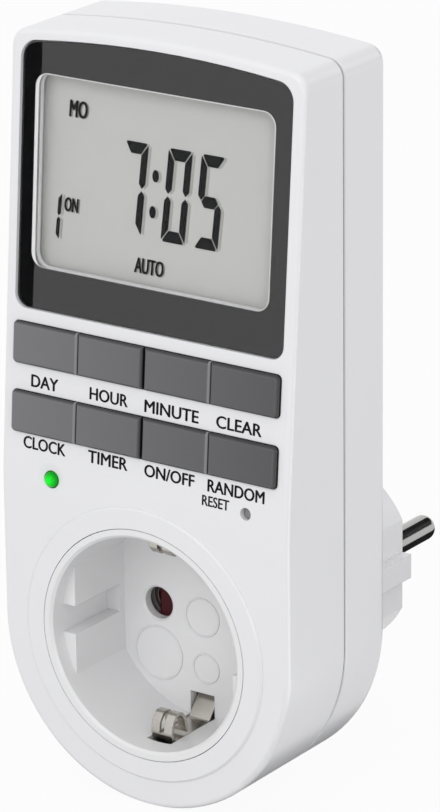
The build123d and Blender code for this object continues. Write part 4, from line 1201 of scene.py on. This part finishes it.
@dataclass(frozen=True)
class Studio:
    """Plain pale floor, white surroundings, three soft lamps and cards that glossy surfaces mirror.

    shadow is how much of the plain floor the camera sees in its white, and ambient how strong the
    surroundings' light is.
    """

    floor_z: float = CAD_BOX[0][2]
    floor_size: float = 8.0
    floor_colour: str = "#D2D2D2"
    shadow: float = 0.06
    ambient: float = 0.86
    # Dark cards at the left, behind the timer, and on the floor behind it and under its foot, and a
    # bright one at its right. The card under the foot is painted shade: it stands in for the floor's
    # shadow where glossy surfaces mirror the floor.
    cards: tuple[Card, ...] = (
        Card(
            "lens_flag",
            (-0.1402168, -0.2121716, 0.0391),
            Vector((-0.826, 0.563, 0.0)),
            Vector((-0.030562, 0.020831, 1.0)),
            0.014,
            0.13,
        ),
        Card("upper_flag", (0.2, 0.4, 0.115), UP, RIGHT, 0.33, 0.5),
        Card("lower_flag", (0.025, 0.035, -0.0302), BACK, RIGHT, 0.08, 0.085),
        # Painted shade: stands in for the floor's shadow under the foot, as glossy surfaces mirror it.
        Card("painted_foot_shadow", (-0.03, -0.026, -0.0303), RIGHT, BACK, 0.054, 0.064),
        Card("edge_card", (0.06, -0.045, -0.028), Vector((0.9, 0.0, 0.43)), BACK, 0.3, 0.06, 4.0),
    )
    lamps: tuple[Lamp, ...] = (
        Lamp("key_lamp", (-0.03, -1.07, 0.75), 0.8, 3.62),
        Lamp("rear_lamp", (0.45, 0.7, 0.42), 0.3, 0.42),
        Lamp("fill_lamp", (0.72, -0.83, 0.12), 0.26, 1.1),
    )

    def floor(self) -> None:
        """Pale floor under the timer, white where it is seen, apart from the timer's shadow."""
        bpy.ops.object.select_all(action="DESELECT")
        bpy.ops.mesh.primitive_plane_add(size=self.floor_size, location=(0.0, 0.0, self.floor_z))
        floor = bpy.context.object
        floor.name = "studio_floor"
        material = blank_material("pale_floor")
        tree = material.node_tree
        part = add(tree, "ShaderNodeMath", {0: seen(tree), 1: 1.0 - self.shadow}, operation="MULTIPLY")
        plain = add(tree, "ShaderNodeBsdfDiffuse", {"Color": linear(self.floor_colour)})
        white = add(tree, "ShaderNodeEmission", {"Color": WHITE, "Strength": 1.0})
        mixed = {0: part.outputs[0], 1: plain.outputs[0], 2: white.outputs[0]}
        surface = add(tree, "ShaderNodeMixShader", mixed).outputs[0]
        add(tree, "ShaderNodeOutputMaterial", {"Surface": surface})
        material.cycles.emission_sampling = "NONE"
        floor.data.materials.append(material)

    def world(self) -> None:
        """Even light all round, white where it is seen."""
        world = bpy.data.worlds.new("studio_world")
        bpy.context.scene.world = world
        world.use_nodes = True
        tree = world.node_tree
        tree.nodes.clear()
        ends = {"Value": seen(tree), "To Min": self.ambient, "To Max": 1.0}
        strength = add(tree, "ShaderNodeMapRange", ends).outputs[0]
        white = add(tree, "ShaderNodeBackground", {"Color": WHITE, "Strength": strength})
        add(tree, "ShaderNodeOutputWorld", {"Surface": white.outputs[0]})

    def build(self) -> None:
        """Sets up floor, cards, surroundings and lamps."""
        self.floor()
        for card in self.cards:
            card.build()
        self.world()
        for lamp in self.lamps:
            lamp.build()
        bpy.context.scene.view_settings.view_transform = "Standard"


@dataclass(frozen=True)
class Viewpoint:
    """The photograph's camera: angles in degrees, metres from its target, and pixels.

    focal is the lens's length and principal the point that it looks straight at, both in pixels of
    the photograph.
    """

    azimuth: float = 35.752
    elevation: float = 19.621
    roll: float = -0.896
    distance: float = 0.779351
    focal: float = 4489.287
    principal: Place = (173.7, 440.591)
    target: Place3 = (0.0, -0.0486, 0.035)
    clip_start: float = 0.05

    def build(self) -> None:
        """Sets up the camera."""
        azimuth, elevation, roll = (math.radians(v) for v in (self.azimuth, self.elevation, self.roll))
        right = Vector((math.cos(azimuth), math.sin(azimuth), 0.0))
        front = Vector((math.sin(azimuth), -math.cos(azimuth), 0.0))
        back = front * math.cos(elevation) + UP * math.sin(elevation)
        up = back.cross(right)
        level = math.cos(roll) * right + math.sin(roll) * up
        upright = math.cos(roll) * up - math.sin(roll) * right
        lens = bpy.data.cameras.new("camera")
        lens.sensor_width = SENSOR
        lens.lens = self.focal / FRAME_TALL * SENSOR
        lens.shift_x = (FRAME_WIDE / 2 - self.principal[0]) / FRAME_TALL
        lens.shift_y = (self.principal[1] - FRAME_TALL / 2) / FRAME_TALL
        lens.clip_start = self.clip_start
        camera = bpy.data.objects.new("camera", lens)
        bpy.context.scene.collection.objects.link(camera)
        turn = Matrix((level, upright, back)).transposed().to_4x4()
        camera.matrix_world = Matrix.Translation(Vector(self.target) + back * self.distance) @ turn
        bpy.context.scene.camera = camera


def main() -> None:
    """Builds the scene in order."""
    logging.basicConfig(level=logging.INFO, format="%(message)s")
    dress_nodes()
    DisplayBorder().build()
    Readout().build()
    KeyLabels().build()
    Studio().build()
    Viewpoint().build()


if __name__ == "__main__":
    main()
